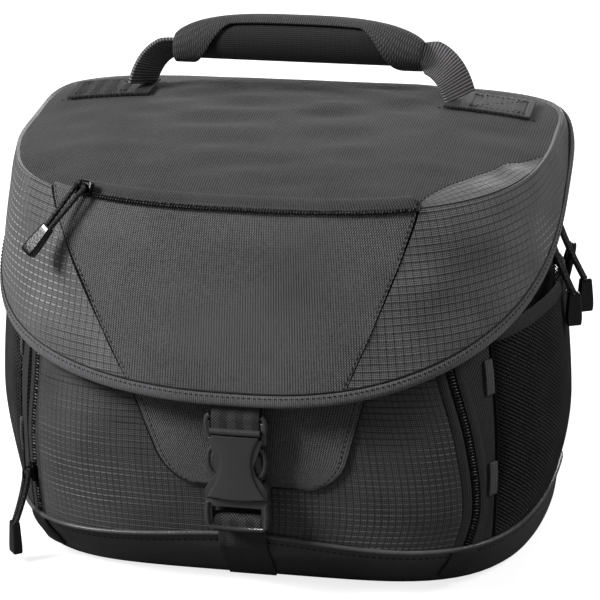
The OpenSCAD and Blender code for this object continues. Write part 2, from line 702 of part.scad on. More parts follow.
module plug_webbing() {
    r0 = bar_d / 2 + sew_gap;
    r1 = r0 + web_t;
    tail = 6;
    color(tape) translate([-strap_w / 2, 0, 0]) rotate([90, 0, 90]) linear_extrude(strap_w) difference() {
        union() {
            translate([buckle_y, plug_bar_z]) circle(r = r1, $fn = 48);
            translate([buckle_y - r1, plug_bar_z - tail]) square([web_t, tail]);
            translate([buckle_y + r1 - web_t, plug_bar_z - tail]) square([web_t, tail]);
        }
        translate([buckle_y, plug_bar_z]) circle(r = r0, $fn = 48);
    }
}
prong_x = 9.5;
prong_l = socket_l * 0.78;
prong_root_d = 2.6;
prong_root_z = plug_top + prong_root_d / 2 + run_gap;
module prong(s) {
    edge = room_w / 2 - run_gap;
    color(gloss) upright(room_t - 2 * run_gap) scale([s, 1]) {
        translate([prong_x, prong_root_z]) circle(d = prong_root_d, $fn = 32);
        polygon([[prong_x - prong_root_d / 2, prong_root_z], [prong_x + prong_root_d / 2, prong_root_z],
            [prong_x + 1.6, mouth_z + 8],
            [edge, mouth_z + 10.5], [edge, mouth_z + 13], [edge - 1.2, plug_top + prong_l - 3],
            [prong_x, plug_top + prong_l], [prong_x - 2, plug_top + prong_l - 2],
            [prong_x - 0.6, mouth_z + 14], [prong_x - 1.2, mouth_z + 8]]);
    }
}
module prong_right() prong(1);
module prong_left() prong(-1);
module closure_strap() {
    // Lies on the front of the base and pocket, over the piping, behind the plug
    pipe_top = base_h + base_rise;
    over_pipe = pipe_d + 2 * run_gap;
    over_patch = patch_gap + patch_t + run_gap;
    route = [[edge_r / 2, run_gap], [2 * edge_r, run_gap],
        [pipe_top - pipe_d, over_pipe], [pipe_top + pipe_d, over_pipe],
        [panel_foot_z - edge_r, over_patch], [panel_foot_z + edge_r, over_patch]];
    n = len(route) - 1;
    function at(u, v, out) =
        let (q = route[round(v * n)]) [(u - 0.5) * strap_w, wall_pt(-90, q[0]).y - q[1] - out, q[0]];
    color(tape) slab(function(u, v) at(u, v, web_t), function(u, v) at(u, v, 0), 1, n);
}

// Zip sliders, in a frame with +X out of the tape; the bail on top holds the pull's cord
bail_w = 1.8;
bail_t = 1;
bail_x = slider_h + cord_d + 2 * run_gap;
eye_x = slider_h + run_gap + cord_d / 2;
strand_y = cord_d / 2 + bail_w / 2 + run_gap;
module zip_slider(across = false, yaw = 0) {
    long = across ? slider_w : slider_l;
    wide = across ? slider_l : slider_w;
    post = 1;
    reach = slider_w / 2;
    color(gloss) {
        translate([0, -wide / 2, -long / 2]) cube([slider_h, wide, long]);
        rotate([yaw, 0, 0]) {
            for (z = [-reach, reach - post])
                translate([0, -bail_w / 2, z]) cube([bail_x + bail_t, bail_w, post]);
            translate([bail_x, -bail_w / 2, -reach]) cube([bail_t, bail_w, 2 * reach]);
        }
    }
}
// Zip pulls, in a frame with the bail's eye at the origin and the pull along -Z
module pull_hang(yaw = 0) translate([eye_x, 0, 0]) rotate([yaw, 0, 0]) children();
// A cord loop of a given length whose lower end stands out by a given amount
module pull_cord(l, out = 0) {
    r = cord_d / 2;
    end_y = r + sew_gap;
    steps = [0.15, 0.3, 0.5, 0.75, 1];
    top = len(steps) - 1;
    function strand(v, side) = [out * pow(v, 1.4), side * mix(strand_y, end_y, v), -l * v];
    path = concat(
        [for (i = [top : -1 : 0]) strand(steps[i], 1)],
        [for (a = [0 : 30 : 180]) [0, strand_y * cos(a), r * 0.3 * sin(a)]],
        [for (i = [0 : top]) strand(steps[i], -1)]);
    n = len(path);
    color(black) ring_solid([for (i = [0 : n - 1])
        let (d = path[min(n - 1, i + 1)] - path[max(0, i - 1)], t = d / norm(d),
             e1 = [1, 0, 0] - t * t.x, e = e1 / norm(e1), f = cross(t, e))
        [for (a = angles(8)) path[i] + r * (cos(a) * e + sin(a) * f)]]);
}
module pull_tip(l, out = 0) {
    z0 = -l - 2 * run_gap;
    neck_w = 2 * cord_d + 1.4;
    neck_t = cord_d + 1.6;
    foot_t = cord_d + 2.6;
    squareness = 3.5;
    function ring(z, w, t) = [for (a = angles(16))
        let (q = soft(a, t / 2, -w / 2, w / 2, 0, squareness, squareness)) [out + q.x, q.y, z]];
    color(gloss) ring_solid([
        ring(z0 - tip_l, tip_w * 0.8, foot_t * 0.75),
        ring(z0 - tip_l + 1.5, tip_w, foot_t),
        ring(z0 - tip_l * 0.5, tip_w * 0.9, foot_t),
        ring(z0 - 1, neck_w, neck_t),
        ring(z0, neck_w - 1, neck_t - 0.6)]);
}

// Places of the four sliders
slider_gap = 2 * run_gap;
lid_slider_gap = 0.8;
lid_slider_a = -180 - seam_top_a + 3;
lid_slider_heading = -114;
lid_slider_tilt = 29;
lid_pull_yaw = -28;
module lid_slider_place() {
    off = sew_gap + tape_t + lid_slider_gap;
    translate(lid_pt(lid_slider_a, 0, off) + [0, 0, off])
        rotate([0, 0, lid_slider_heading]) rotate([0, -lid_slider_tilt, 0]) children();
}
front_slider_a = -180 - (left_zip_a0 + left_zip_a1) / 2;
front_slider_z = base_h + 23;
front_cord_l = 27;
front_cord_out = 8;
module front_slider_place() {
    translate(wall_pt(front_slider_a, front_slider_z, slider_gap))
        rotate([0, 0, wall_heading(front_slider_a, front_slider_z)]) children();
}
main_slider_y = [10, 32];
main_slider_z = 186;
main_cord_l = 46;
main_cord_out = [17, 18.5];
module main_slider_place(i) {
    th = atan2(main_slider_y[i] - wide_y, wall_half(main_slider_z));
    translate(wall_pt(th, main_slider_z, main_zip_gap + tape_t + run_gap))
        rotate([0, 0, wall_heading(th, main_slider_z)]) children();
}
module lid_zip_slider() lid_slider_place() zip_slider(across = true, yaw = lid_pull_yaw);
module lid_pull_cord() lid_slider_place() pull_hang(lid_pull_yaw) pull_cord(cord_l);
module lid_pull_tip() lid_slider_place() pull_hang(lid_pull_yaw) pull_tip(cord_l);
module front_zip_slider() front_slider_place() zip_slider();
module front_pull_cord() front_slider_place() pull_hang() pull_cord(front_cord_l, front_cord_out);
module front_pull_tip() front_slider_place() pull_hang() pull_tip(front_cord_l, front_cord_out);
module main_slider_front() main_slider_place(0) zip_slider(across = true);
module main_cord_front() main_slider_place(0) pull_hang() pull_cord(main_cord_l, main_cord_out[0]);
module main_tip_front() main_slider_place(0) pull_hang() pull_tip(main_cord_l, main_cord_out[0]);
module main_slider_rear() main_slider_place(1) zip_slider(across = true);
module main_cord_rear() main_slider_place(1) pull_hang() pull_cord(main_cord_l, main_cord_out[1]);
module main_tip_rear() main_slider_place(1) pull_hang() pull_tip(main_cord_l, main_cord_out[1]);

base_tray();
base_piping();
base_board();
base_foam();
foam_front();
foam_back();
foam_sides();
lining();
front_wall();
front_panel();
front_patch();
pocket_top();
front_zip();
gusset_left();
gusset_right();
gusset_tabs();
side_panel_left();
side_panel_right();
back_panel();
side_pocket_left();
side_pocket_right();
pocket_hems();
ring_webbing();
main_zip();
zip_end_tab();
closure_strap();
lid_top();
lid_lining();
flap_center();
flap_wing_left();
flap_wing_right();
hinge_band();
flap_binding();
lid_zip();
handle_tabs();
buckle_tab();
buckle_socket();
handle_grip();
handle_webbing();
buckle_plug();
plug_webbing();
prong_left();
prong_right();
strap_ring_left();
strap_ring_right();
divider_left();
divider_right();
lid_zip_slider();
lid_pull_cord();
lid_pull_tip();
front_zip_slider();
front_pull_cord();
front_pull_tip();
main_slider_front();
main_cord_front();
main_tip_front();
main_slider_rear();
main_cord_rear();
main_tip_rear();
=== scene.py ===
# %% [markdown]
# # A soft bag for a camera
# The bag is sewn from a few fabrics over foam: twill on the lid, the flap and the pocket, ripstop on the
# wings, a coated base, net pockets, webbing and moulded buckle parts. The imported model gives the frame:
# every piece below is drawn in its millimetres, and all but the hinge fold and the handle legs ride on one of
# its bodies.

# %% Load the frame
from math import atan2, cos, degrees, hypot, pi, radians, sin, sqrt
import bpy
import numpy as np
from mathutils import Matrix, Vector, noise


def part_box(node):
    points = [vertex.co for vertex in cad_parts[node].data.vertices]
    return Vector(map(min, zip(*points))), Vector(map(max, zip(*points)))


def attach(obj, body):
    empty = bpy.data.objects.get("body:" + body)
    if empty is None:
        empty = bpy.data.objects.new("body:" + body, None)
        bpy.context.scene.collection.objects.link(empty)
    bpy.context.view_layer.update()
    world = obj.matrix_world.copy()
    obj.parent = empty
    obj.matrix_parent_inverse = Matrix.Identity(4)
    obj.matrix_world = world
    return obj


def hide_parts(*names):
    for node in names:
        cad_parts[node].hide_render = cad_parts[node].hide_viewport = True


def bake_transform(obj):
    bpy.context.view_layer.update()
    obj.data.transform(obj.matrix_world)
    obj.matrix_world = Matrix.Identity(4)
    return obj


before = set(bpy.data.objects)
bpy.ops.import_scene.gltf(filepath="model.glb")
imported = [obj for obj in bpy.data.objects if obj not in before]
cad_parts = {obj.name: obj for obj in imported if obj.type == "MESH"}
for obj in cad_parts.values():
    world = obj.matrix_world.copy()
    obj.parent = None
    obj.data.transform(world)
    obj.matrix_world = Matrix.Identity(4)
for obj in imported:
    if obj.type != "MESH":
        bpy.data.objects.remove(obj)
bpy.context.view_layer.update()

# %% [markdown]
# ## Camera
# The photograph was taken from a little to the right and above with a long lens. The camera is set by
# its azimuth, elevation, roll and distance, so that the picture's frame is the photograph's.

# %% Camera
AZIMUTH, ELEVATION, ROLL = radians(12.6), radians(19.0), radians(0.8)
FOCAL_PX, FRAME_PX, SENSOR = 2900, 600, 36.0
TARGET, DISTANCE = Vector((0.008, 0.016, 0.125)), 1.545
back = Vector((sin(AZIMUTH) * cos(ELEVATION), -cos(AZIMUTH) * cos(ELEVATION), sin(ELEVATION)))
right = Vector((cos(AZIMUTH), sin(AZIMUTH), 0))
up = back.cross(right)
side = right * cos(ROLL) - up * sin(ROLL)
head = right * sin(ROLL) + up * cos(ROLL)
bpy.ops.object.select_all(action="DESELECT")
bpy.ops.object.camera_add()
camera = bpy.context.object
camera.data.lens = FOCAL_PX / FRAME_PX * SENSOR
camera.data.sensor_width = SENSOR
view_turn = Matrix((side, head, back)).transposed().to_4x4()
camera.matrix_world = Matrix.Translation(TARGET + back * DISTANCE) @ view_turn
scene = bpy.context.scene
scene.camera = camera
scene.view_settings.view_transform = "Standard"
print("camera lens", round(camera.data.lens, 1), "mm")

# %% [markdown]
# ## Node helpers
# Shaders are built from nodes. These helpers make one node and one empty material, so that a material
# below reads as its weave and not as wiring.

# %% Node helpers
def hex_linear(code):
    """An sRGB hex colour as linear RGBA."""
    parts = [int(code[i:i + 2], 16) / 255 for i in (1, 3, 5)]
    return tuple(c / 12.92 if c <= 0.04045 else ((c + 0.055) / 1.055) ** 2.4 for c in parts) + (1.0,)


def add(tree, kind, inputs=None, **settings):
    """One node with its settings; an input is a number, a colour or another node's output."""
    made = tree.nodes.new("ShaderNode" + kind)
    for key, value in settings.items():
        setattr(made, key, value)
    for key, value in (inputs or {}).items():
        if isinstance(value, bpy.types.NodeSocket):
            tree.links.new(value, made.inputs[key])
        else:
            made.inputs[key].default_value = value
    return made


def fresh(name):
    """An empty material with its output node."""
    mat = bpy.data.materials.new(name)
    mat.use_nodes = True
    mat.node_tree.nodes.clear()
    return mat, mat.node_tree, mat.node_tree.nodes.new("ShaderNodeOutputMaterial")


# %% [markdown]
# ## Surround, floor and lamps
# The photograph stands on white. A paper floor could be lit until it burns out, but then the dark cloth
# would be flooded too. Here the surround and the paper are white for the camera only, and dim for the
# cloth, so a large lamp at the upper left and a weak one at the right can model its folds.

# %% Surround and floor
world = bpy.data.worlds.new("surround")
scene.world = world
world.use_nodes = True
world.node_tree.nodes.clear()
rays = add(world.node_tree, "LightPath")
seen = add(world.node_tree, "Math", operation="MAXIMUM", inputs={
    0: rays.outputs["Is Camera Ray"], 1: rays.outputs["Is Transmission Ray"]})
white = add(world.node_tree, "Background", {"Color": (1, 1, 1, 1), "Strength": 1.0})
dim = add(world.node_tree, "Background", {"Color": hex_linear("#f4f6fa"), "Strength": 0.13})
either = add(world.node_tree, "MixShader", {0: seen.outputs[0], 1: dim.outputs[0], 2: white.outputs[0]})
add(world.node_tree, "OutputWorld", {"Surface": either.outputs[0]})

# The paper under the bag: white to the eye, grey to the bag.
paper, tree, out = fresh("studio_paper")
rays = add(tree, "LightPath")
matte = add(tree, "BsdfDiffuse", {"Color": hex_linear("#dcdcdc")})
dull = add(tree, "BsdfDiffuse", {"Color": hex_linear("#707070")})
glow = add(tree, "Emission", {"Color": (1, 1, 1, 1), "Strength": 0.8})
lit = add(tree, "AddShader", {0: matte.outputs[0], 1: glow.outputs[0]})
paper_mix = add(tree, "MixShader", {0: rays.outputs["Is Camera Ray"], 1: dull.outputs[0], 2: lit.outputs[0]})
tree.links.new(paper_mix.outputs[0], out.inputs["Surface"])
bpy.ops.object.select_all(action="DESELECT")
bpy.ops.mesh.primitive_plane_add(size=12, location=(0, 0, 0))
floor = bpy.context.object
floor.name = "studio_floor"
bpy.ops.object.transform_apply(location=True, rotation=True, scale=True)
floor.data.materials.append(paper)
print("surround and floor:", floor.name)

# %% Lamps
# Name, place and size in metres, watts.
LAMPS = (("key", (-1.65, -1.0, 1.7), 0.8, 52), ("right", (1.6, 0.2, 1.4), 0.7, 12),
         ("top", (-0.2, 0.3, 1.8), 0.9, 1.5), ("rear", (0.0, 2.4, 0.6), 1.0, 20))
for lamp_name, place, size, watts in LAMPS:
    bpy.ops.object.select_all(action="DESELECT")
    bpy.ops.object.light_add(type="AREA", location=place)
    lamp = bpy.context.object
    lamp.name = "lamp_" + lamp_name
    lamp.data.size = size
    lamp.data.energy = watts
    lamp.rotation_euler = (TARGET - Vector(place)).to_track_quat("-Z", "Y").to_euler()
print("lamps:", len(LAMPS))

# %% [markdown]
# ## Materials
# All weaves are drawn on a UV map in metres, so a thread spacing in millimetres is a plain number. One
# pixel of the picture is half a millimetre, so threads finer than a millimetre are drawn at about one.
# A picture of each cloth could be laid on instead, but it wouldn't keep its threads at every distance.

# %% Weave helpers
def calc(tree, operation, *values):
    """One sum on numbers or outputs."""
    return add(tree, "Math", dict(enumerate(values)), operation=operation).outputs[0]


def span(tree, value, *limits):
    """A value mapped from two limits to 0 and 1, or to a second pair, and held between them."""
    return add(tree, "MapRange", dict(enumerate((value,) + limits))).outputs[0]


def tint(tree, share, first, second):
    """A colour between two, each an sRGB hex code or an output."""
    first, second = (hex_linear(c) if isinstance(c, str) else c for c in (first, second))
    return add(tree, "MixRGB", {0: share, 1: first, 2: second}).outputs[0]


def speckle(tree, scale, detail):
    """Soft noise in the piece's own space, with this many waves to the metre."""
    at = add(tree, "TexCoord").outputs["Object"]
    return add(tree, "TexNoise", {"Vector": at, "Scale": scale, "Detail": detail}).outputs["Fac"]


def threads(tree, u_mm, v_mm):
    """Coordinates that count threads of these widths in millimetres, in both directions."""
    split = add(tree, "SeparateXYZ", {0: add(tree, "UVMap").outputs[0]})
    return [calc(tree, "MULTIPLY", split.outputs[i], 1000 / mm) for i, mm in enumerate((u_mm, v_mm))]


def ridge(tree, value):
    """A round thread for each whole number of a coordinate: 0 between threads, 1 on top."""
    return calc(tree, "ABSOLUTE", calc(tree, "SINE", calc(tree, "MULTIPLY", value, pi)))


def surface(tree, out, colour, height, depth_mm, rough, **constants):
    """The shader of a material: a linked colour and bump, and constants on its own sockets."""
    bump = add(tree, "Bump", {"Height": height, "Distance": depth_mm / 1000, "Strength": 1.0})
    body = add(tree, "BsdfPrincipled", {"Base Color": colour, "Normal": bump.outputs[0], "Roughness": rough})
    for socket, value in constants.items():
        body.inputs[socket.replace("_", " ")].default_value = value
    tree.links.new(body.outputs[0], out.inputs["Surface"])


# %% [markdown]
# ### Twill and tape
# Spun polyester shows slanted ribs, a fine mottle of fibres and wide clouds of wear. Two ridges at a
# slant make the ribs, and two noises the rest.

# %% Twill and tape
def woven(name, dark, light, pitch_mm, slant=1.0, depth_mm=0.25, rough=0.85, **constants):
    """Spun polyester: slanted ribs of thread, a little mottled, matte with a soft sheen."""
    mat, tree, out = fresh(name)
    u, v = threads(tree, pitch_mm, pitch_mm)
    rib = ridge(tree, calc(tree, "MULTIPLY_ADD", v, slant, u))
    weave = calc(tree, "MULTIPLY", rib, ridge(tree, u))
    fibres, clouds = speckle(tree, 700.0, 3.0), speckle(tree, 28.0, 2.0)
    shade = calc(tree, "MULTIPLY_ADD", fibres, 0.6, weave)
    shade = calc(tree, "MULTIPLY_ADD", clouds, 0.3, shade)
    colour = tint(tree, span(tree, shade, 0.4, 1.3), dark, light)
    surface(tree, out, colour, weave, depth_mm, rough, **constants)
    return mat


# Charcoal lid and back: dark, with a faint sheen on the crown.
twill = woven("polyester_twill", "#050405", "#605e60", 1.3, Sheen_Weight=0.12, Sheen_Roughness=0.5)
# The flap's middle: lighter than the lid, as in the photo, with its ribs the other way.
# Its lighter colour is painted light: the lid's own twill, lit where the flap faces the lamps.
lit_flap_twill = woven("lit_flap_twill", "#100f10", "#929091", 1.3, slant=-1.0,
                   Sheen_Weight=0.25, Sheen_Roughness=0.5)
# The bib on the pocket: like the flap's painted-light twill, a shade flatter as painted shade under the flap.
shaded_pocket_twill = woven("shaded_pocket_twill", "#141314", "#908e8f", 1.3, slant=-1.0,
                     Sheen_Weight=0.2, Sheen_Roughness=0.5)
# Sides: near black, so that the net stands out before them.
side_cloth = woven("side_cloth", "#030303", "#0e0e0e", 1.4, rough=0.9)
# The flap's binding: a pale narrow line round the edge.
binding_tape = woven("binding_tape", "#3a383a", "#9a989a", 1.0, depth_mm=0.2,
                     Sheen_Weight=0.25, Sheen_Roughness=0.5)
# Folded welts and hems: a middle grey beside black zips.
welt_tape = woven("welt_tape", "#1d1c1d", "#565455", 1.0, depth_mm=0.2)
# Zip tape: dull black under the coil.
zip_tape = woven("zip_tape", "#0b0b0b", "#1d1d1e", 1.0, rough=0.9)
# Small loops: the palest tape, seen as light marks on the dark sides.
grey_tape = woven("grey_tape", "#4c4b4d", "#7b797b", 1.3, depth_mm=0.3)
# Lining: a light brushed nap that shows how deep the well is.
lining_cloth = woven("brushed_lining", "#58585b", "#77777a", 0.9, depth_mm=0.1, rough=0.95,
                     Sheen_Weight=0.4, Sheen_Roughness=0.6)
# Grip: a coarse dark knit.
grip_knit = woven("grip_knit", "#0c0c0c", "#292829", 1.3, slant=0.5, depth_mm=0.3, rough=0.9,
                  Sheen_Weight=0.2, Sheen_Roughness=0.5)
# The handle's legs: straight pale ribs.
leg_web = woven("handle_webbing", "#3a383a", "#9c999b", 1.7, slant=0.0, depth_mm=0.5)
print("twill and tape:", len(bpy.data.materials), "materials so far")

# %% [markdown]
# ### Webbing
# Nylon webbing is woven in chevrons. A zigzag across the ribs, added to the length, bends the threads.

# %% Webbing
def herringbone(name, dark, light, rib_mm, thread_mm):
    """Nylon webbing: chevrons of thread that turn at every rib, slightly glossy."""
    mat, tree, out = fresh(name)
    u, v = threads(tree, rib_mm, thread_mm)
    zigzag = calc(tree, "PINGPONG", u, 1.0)
    chevrons = ridge(tree, calc(tree, "MULTIPLY_ADD", zigzag, rib_mm / thread_mm, v))
    shade = calc(tree, "MULTIPLY_ADD", speckle(tree, 500.0, 2.0), 0.4, chevrons)
    colour = tint(tree, span(tree, shade, 0.2, 1.3), dark, light)
    surface(tree, out, colour, chevrons, 0.35, 0.62)
    return mat


# Straps and bands: fine chevrons with a slight gloss.
webbing = herringbone("nylon_webbing", "#010101", "#525052", rib_mm=4.2, thread_mm=1.5)
# Gussets: the photo's wide chevrons beside the front zips.
gusset_web = herringbone("gusset_webbing", "#010101", "#565455", rib_mm=13.0, thread_mm=2.3)
print("webbing:", webbing.name, gusset_web.name)

# %% [markdown]
# ### Ripstop
# Thicker threads cross a thin calendered nylon every few millimetres. The photo shows them as dark
# lines, and as bright dashes where they float and catch the lamp, so both are drawn.

# %% Ripstop
def ripstop(name, dark, light, line, cell_mm):
    """Calendered nylon with raised threads every few millimetres, and a painted glint as bright dashes where
    some float.
    """
    mat, tree, out = fresh(name)
    u, v = threads(tree, cell_mm, cell_mm)
    across, along = ridge(tree, v), ridge(tree, u)
    row, column = span(tree, across, 0.34, 0.12), span(tree, along, 0.30, 0.10)
    glint_dashes = calc(tree, "MULTIPLY", row, span(tree, along, 0.35, 0.6))
    fine = calc(tree, "MULTIPLY", *[ridge(tree, way) for way in threads(tree, 1.0, 1.0)])
    shade = calc(tree, "MULTIPLY_ADD", speckle(tree, 40.0, 3.0), 0.7, fine)
    ground = tint(tree, span(tree, shade, 0.2, 1.2), dark, light)
    grid = calc(tree, "MULTIPLY", calc(tree, "MAXIMUM", row, column), 0.7)
    lined = tint(tree, grid, ground, "#161515")
    glint_patches = span(tree, speckle(tree, 16.0, 1.0), 0.5, 0.68)
    # The dashes, in the colour named line, are a painted glint where floating threads catch the lamp, shown
    # in random patches.
    colour = tint(tree, calc(tree, "MULTIPLY", glint_dashes, glint_patches), lined, line)
    height = calc(tree, "MULTIPLY_ADD", row, 2.0, fine)
    surface(tree, out, colour, height, 0.16, 0.42, Sheen_Weight=0.3, Sheen_Roughness=0.4)
    return mat


# Wings: the brightest cloth, a net of lines with shining dashes of painted glint.
wing_ripstop = ripstop("wing_ripstop", "#3f3d3e", "#959394", "#d2cfd0", cell_mm=4.0)
# Pocket: the same cloth, darker as painted shade under the flap, and finer.
shaded_pocket_ripstop = ripstop("shaded_pocket_ripstop", "#232122", "#6c6a6b", "#9c999a", cell_mm=3.2)
print("ripstop:", wing_ripstop.name, shaded_pocket_ripstop.name)

# %% [markdown]
# ### Coated fabric, plastics, foam and thread
# These have an even grain in every direction. Small cells give the grain, and a soft noise varies the
# colour and the gloss, so that no highlight is quite clean.

# %% Coated fabric, plastics, foam and thread
def grained(name, dark, light, grain_mm, depth_mm, rough, **constants):
    """A surface with an even grain in every direction."""
    mat, tree, out = fresh(name)
    at = add(tree, "TexCoord").outputs["Object"]
    cells = add(tree, "TexVoronoi", {"Vector": at, "Scale": 1000 / grain_mm}).outputs["Distance"]
    blur = speckle(tree, 60.0, 4.0)
    dull = span(tree, blur, 0.3, 0.7, rough - 0.06, rough + 0.06)
    surface(tree, out, tint(tree, blur, dark, light), cells, depth_mm, dull, **constants)
    return mat


# Base: a smooth grey coat with a broad soft highlight.
coated = grained("coated_base", "#424242", "#565656", 1.3, 0.10, 0.46)
# Leather at the zips' lower ends: darker, with a pebbled grain.
leather_tab = grained("leather_tab", "#2b2b2b", "#3d3d3d", 1.1, 0.15, 0.42)
# Piping: a pale line that catches the lamp.
piping_skin = grained("piping_skin", "#4c4c4c", "#727272", 1.2, 0.08, 0.3)
# Buckle: moulded acetal with sharp highlights on its edges.
acetal = grained("moulded_acetal", "#444445", "#515152", 0.8, 0.03, 0.22, Specular_IOR_Level=0.9)
# Pull ends: nearly black and glossy, with a clear coat.
tip_gloss = grained("moulded_tip", "#0f0f0f", "#191919", 1.5, 0.02, 0.16, Coat_Weight=0.5)
# Sliders and rings: black enamel over zinc, with a metal's dark gleam.
enamel = grained("enamelled_zinc", "#0e0e0e", "#1c1c1c", 1.5, 0.02, 0.18, Metallic=0.6)
# Foam: open grey cells, only seen at its edges.
foam_skin = grained("cell_foam", "#3b3b3e", "#55555a", 1.2, 0.3, 0.9)
# Net: thin yarn, lighter than the cloth behind it.
net_yarn = grained("net_yarn", "#232323", "#454545", 0.8, 0.05, 0.5)
# Thread: dark stitches that read as dots.
thread = grained("sewing_thread", "#0a0a0a", "#222122", 0.6, 0.05, 0.6)
# Cord: a rough braid with a broken outline of light.
cord_braid = grained("braided_cord", "#0a0a0a", "#3a393a", 1.1, 0.5, 0.6)
# Zip coil: black nylon that glints along its turns.
coil_nylon = grained("coil_nylon", "#0d0d0d", "#1f1f1f", 0.8, 0.03, 0.3)
# Dividers: a light velour, softer than the lining.
velour = grained("divider_velour", "#4a4a4d", "#66666a", 0.9, 0.12, 0.95,
                 Sheen_Weight=0.4, Sheen_Roughness=0.6)
# Stiffening board: dull and dark.
board_grey = grained("fibre_board", "#161616", "#242424", 0.9, 0.1, 0.8)
print("materials:", len(bpy.data.materials))

# %% [markdown]
# ## The bag's forms
# The walls, the padded well and the flap are soft rectangles in plan, given by an angle and a height.
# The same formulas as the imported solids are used, in millimetres, so that each sheet lies on its solid.

# %% Driving sizes
# Half widths of the body, its rim and its floor; the back; where the plan is widest.
BODY_HALF, RIM_HALF, FLOOR_HALF, BACK, WIDE_Y = 142.0, 132.0, 134.0, 102.0, 45.0
# The half width and the reach to the front, by height.
HALF_KNOTS = ((0, FLOOR_HALF), (6, FLOOR_HALF + 6), (26, BODY_HALF), (70, BODY_HALF), (206, RIM_HALF))
FORE_KNOTS = ((0, 61.0), (3, 67.0), (12, 74.2), (26, 85.0), (70, 89.0), (166, 78.0), (206, 78.0))
# How square the plans are, in front and behind, and how much the wall narrows towards the front.
WALL_N, LID_N, WELL_N, WALL_TAPER = (5, 4), (2.7, 4.6), (6, 6), 0.14
# The piping's height, its rise in front, and the pocket's top.
BASE_H, BASE_RISE, POCKET_Z = 26.0, 7.0, 166.0
# Angles of the right zip's edges, the gusset's end and the rear corner; how far the left zip is turned.
ZIP_A0, ZIP_A1, GUSSET_A, CORNER_A, LEFT_TURN = -48.0, -43.0, -31.0, 22.0, 6.0
# The lid's half width, front, back and middle; its edge's heights, its dome and the rim under it.
LID_HALF, LID_FRONT, LID_BACK, LID_MID = 140.0, 80.0, 100.0, 28.0
LID_FRONT_Z, LID_REAR_Z, DOME, DOME_N, RIM_DROP = 206.0, 225.0, 9.0, 2.6, 10.2
# The flap's half width, front, lowest height, skew, thickness and binding.
FLAP_HALF, FLAP_FRONT, FLAP_LOW, FLAP_SKEW, FLAP_T, BIND_W = 149.5, 103.0, 108.0, 16.0, 3.0, 7.5
# Angles of the flap's seams above and below, of the wings' ends and of their full rise.
SEAM_TOP, LEFT_SEAM_TOP, SEAM_LOW, WING_END, WING_RISE = -48.0, -41.0, -66.0, 40.0, 22.0
# The well's half width, front, back and middle, and the angles that its front wall spans.
WELL_HALF, WELL_FRONT, WELL_BACK = 125.0, 38.0, 97.0
WELL_MID = (WELL_BACK - WELL_FRONT) / 2
FRONT_A0, FRONT_A1 = -152.6, -27.4
# The closure webbing, from which the photo's scale was taken.
WEB_W = 25.0
print("body", 2 * BODY_HALF, "mm wide, flap", 2 * FLAP_HALF, "mm wide")

# %% Walls and well
def mix(a, b, t):
    return a + (b - a) * t


def profile(z, knots):
    """A smooth line through knots that never overshoots them."""
    xs, ys = zip(*knots)
    z = min(max(z, xs[0]), xs[-1])
    i = max(k for k in range(len(xs) - 1) if z >= xs[k])
    rise = [(ys[k + 1] - ys[k]) / (xs[k + 1] - xs[k]) for k in range(len(xs) - 1)]

    def slope(k):
        if k == 0 or k == len(xs) - 1:
            return rise[min(k, len(rise) - 1)]
        a, b = rise[k - 1], rise[k]
        return 0.0 if a * b <= 0 else 2 * a * b / (a + b)

    h = xs[i + 1] - xs[i]
    t = (z - xs[i]) / h
    return ((2 * t ** 3 - 3 * t ** 2 + 1) * ys[i] + (t ** 3 - 2 * t ** 2 + t) * h * slope(i)
            + (3 * t ** 2 - 2 * t ** 3) * ys[i + 1] + (t ** 3 - t ** 2) * h * slope(i + 1))


def soft(th, a, yf, yb, yc, square, out=0.0, taper=0.0):
    """A soft rectangle by its polar angle in degrees about (0, yc)."""
    c, s = cos(radians(th)), sin(radians(th))
    b, n = (yc - yf, square[0]) if s < 0 else (yb - yc, square[1])
    r = ((abs(c) / a) ** n + (abs(s) / b) ** n) ** (-1 / n) + out
    q = r * s / b if s < 0 else 0.0
    return r * c * (1 - taper * q * q), yc + r * s


def wall(th, z, out=0.0):
    """A point on the outer wall by its angle and height."""
    fore = profile(z, FORE_KNOTS)
    x, y = soft(th, profile(z, HALF_KNOTS), -fore, BACK, WIDE_Y, WALL_N, out, WALL_TAPER)
    return x, y, z


def pipe_z(th):
    return BASE_H + BASE_RISE * max(0.0, -sin(radians(th))) ** 8


def edge_z(y):
    return mix(LID_FRONT_Z, LID_REAR_Z, (y + LID_FRONT) / (LID_BACK + LID_FRONT))


def rim_z(y):
    return edge_z(y) - RIM_DROP


def well(th, z, out=0.0):
    """A point on the padded well by its angle and height."""
    x, y = soft(th, WELL_HALF, -WELL_FRONT, WELL_BACK, WELL_MID, WELL_N, out)
    return x, y, z


# %% [markdown]
# ### Lid and flap
# The lid's edge is a soft D in plan that rises to the rear, and the flap flares out below it. A place on
# the flap is an angle and a share of the way down, so the seams and the binding are short formulas.

# %% Lid and flap
def top_z(x, y):
    """The crown's height over the lid."""
    b, n = (LID_MID + LID_FRONT, LID_N[0]) if y < LID_MID else (LID_BACK - LID_MID, LID_N[1])
    share = ((abs(x) / LID_HALF) ** n + (abs(y - LID_MID) / b) ** n) ** (1 / n)
    return edge_z(y) + DOME * (1 - min(1.0, share) ** DOME_N)


HINGE_Z = rim_z(LID_BACK) + 0.3


def low_z(th):
    s = min(1.0, (1 + sin(radians(th))) / (1 + sin(radians(WING_RISE))))
    return mix(FLAP_LOW, HINGE_Z + 0.3, s ** 1.25) + FLAP_SKEW / 2 * sin(pi * s) * cos(radians(th))


def lid_plan(th, t, out=0.0):
    t = max(t, 0.0)
    return soft(th, mix(LID_HALF, FLAP_HALF, t ** 0.8), -mix(LID_FRONT, FLAP_FRONT, t ** 0.6),
                LID_BACK + 1.5 * t, LID_MID, LID_N, out)


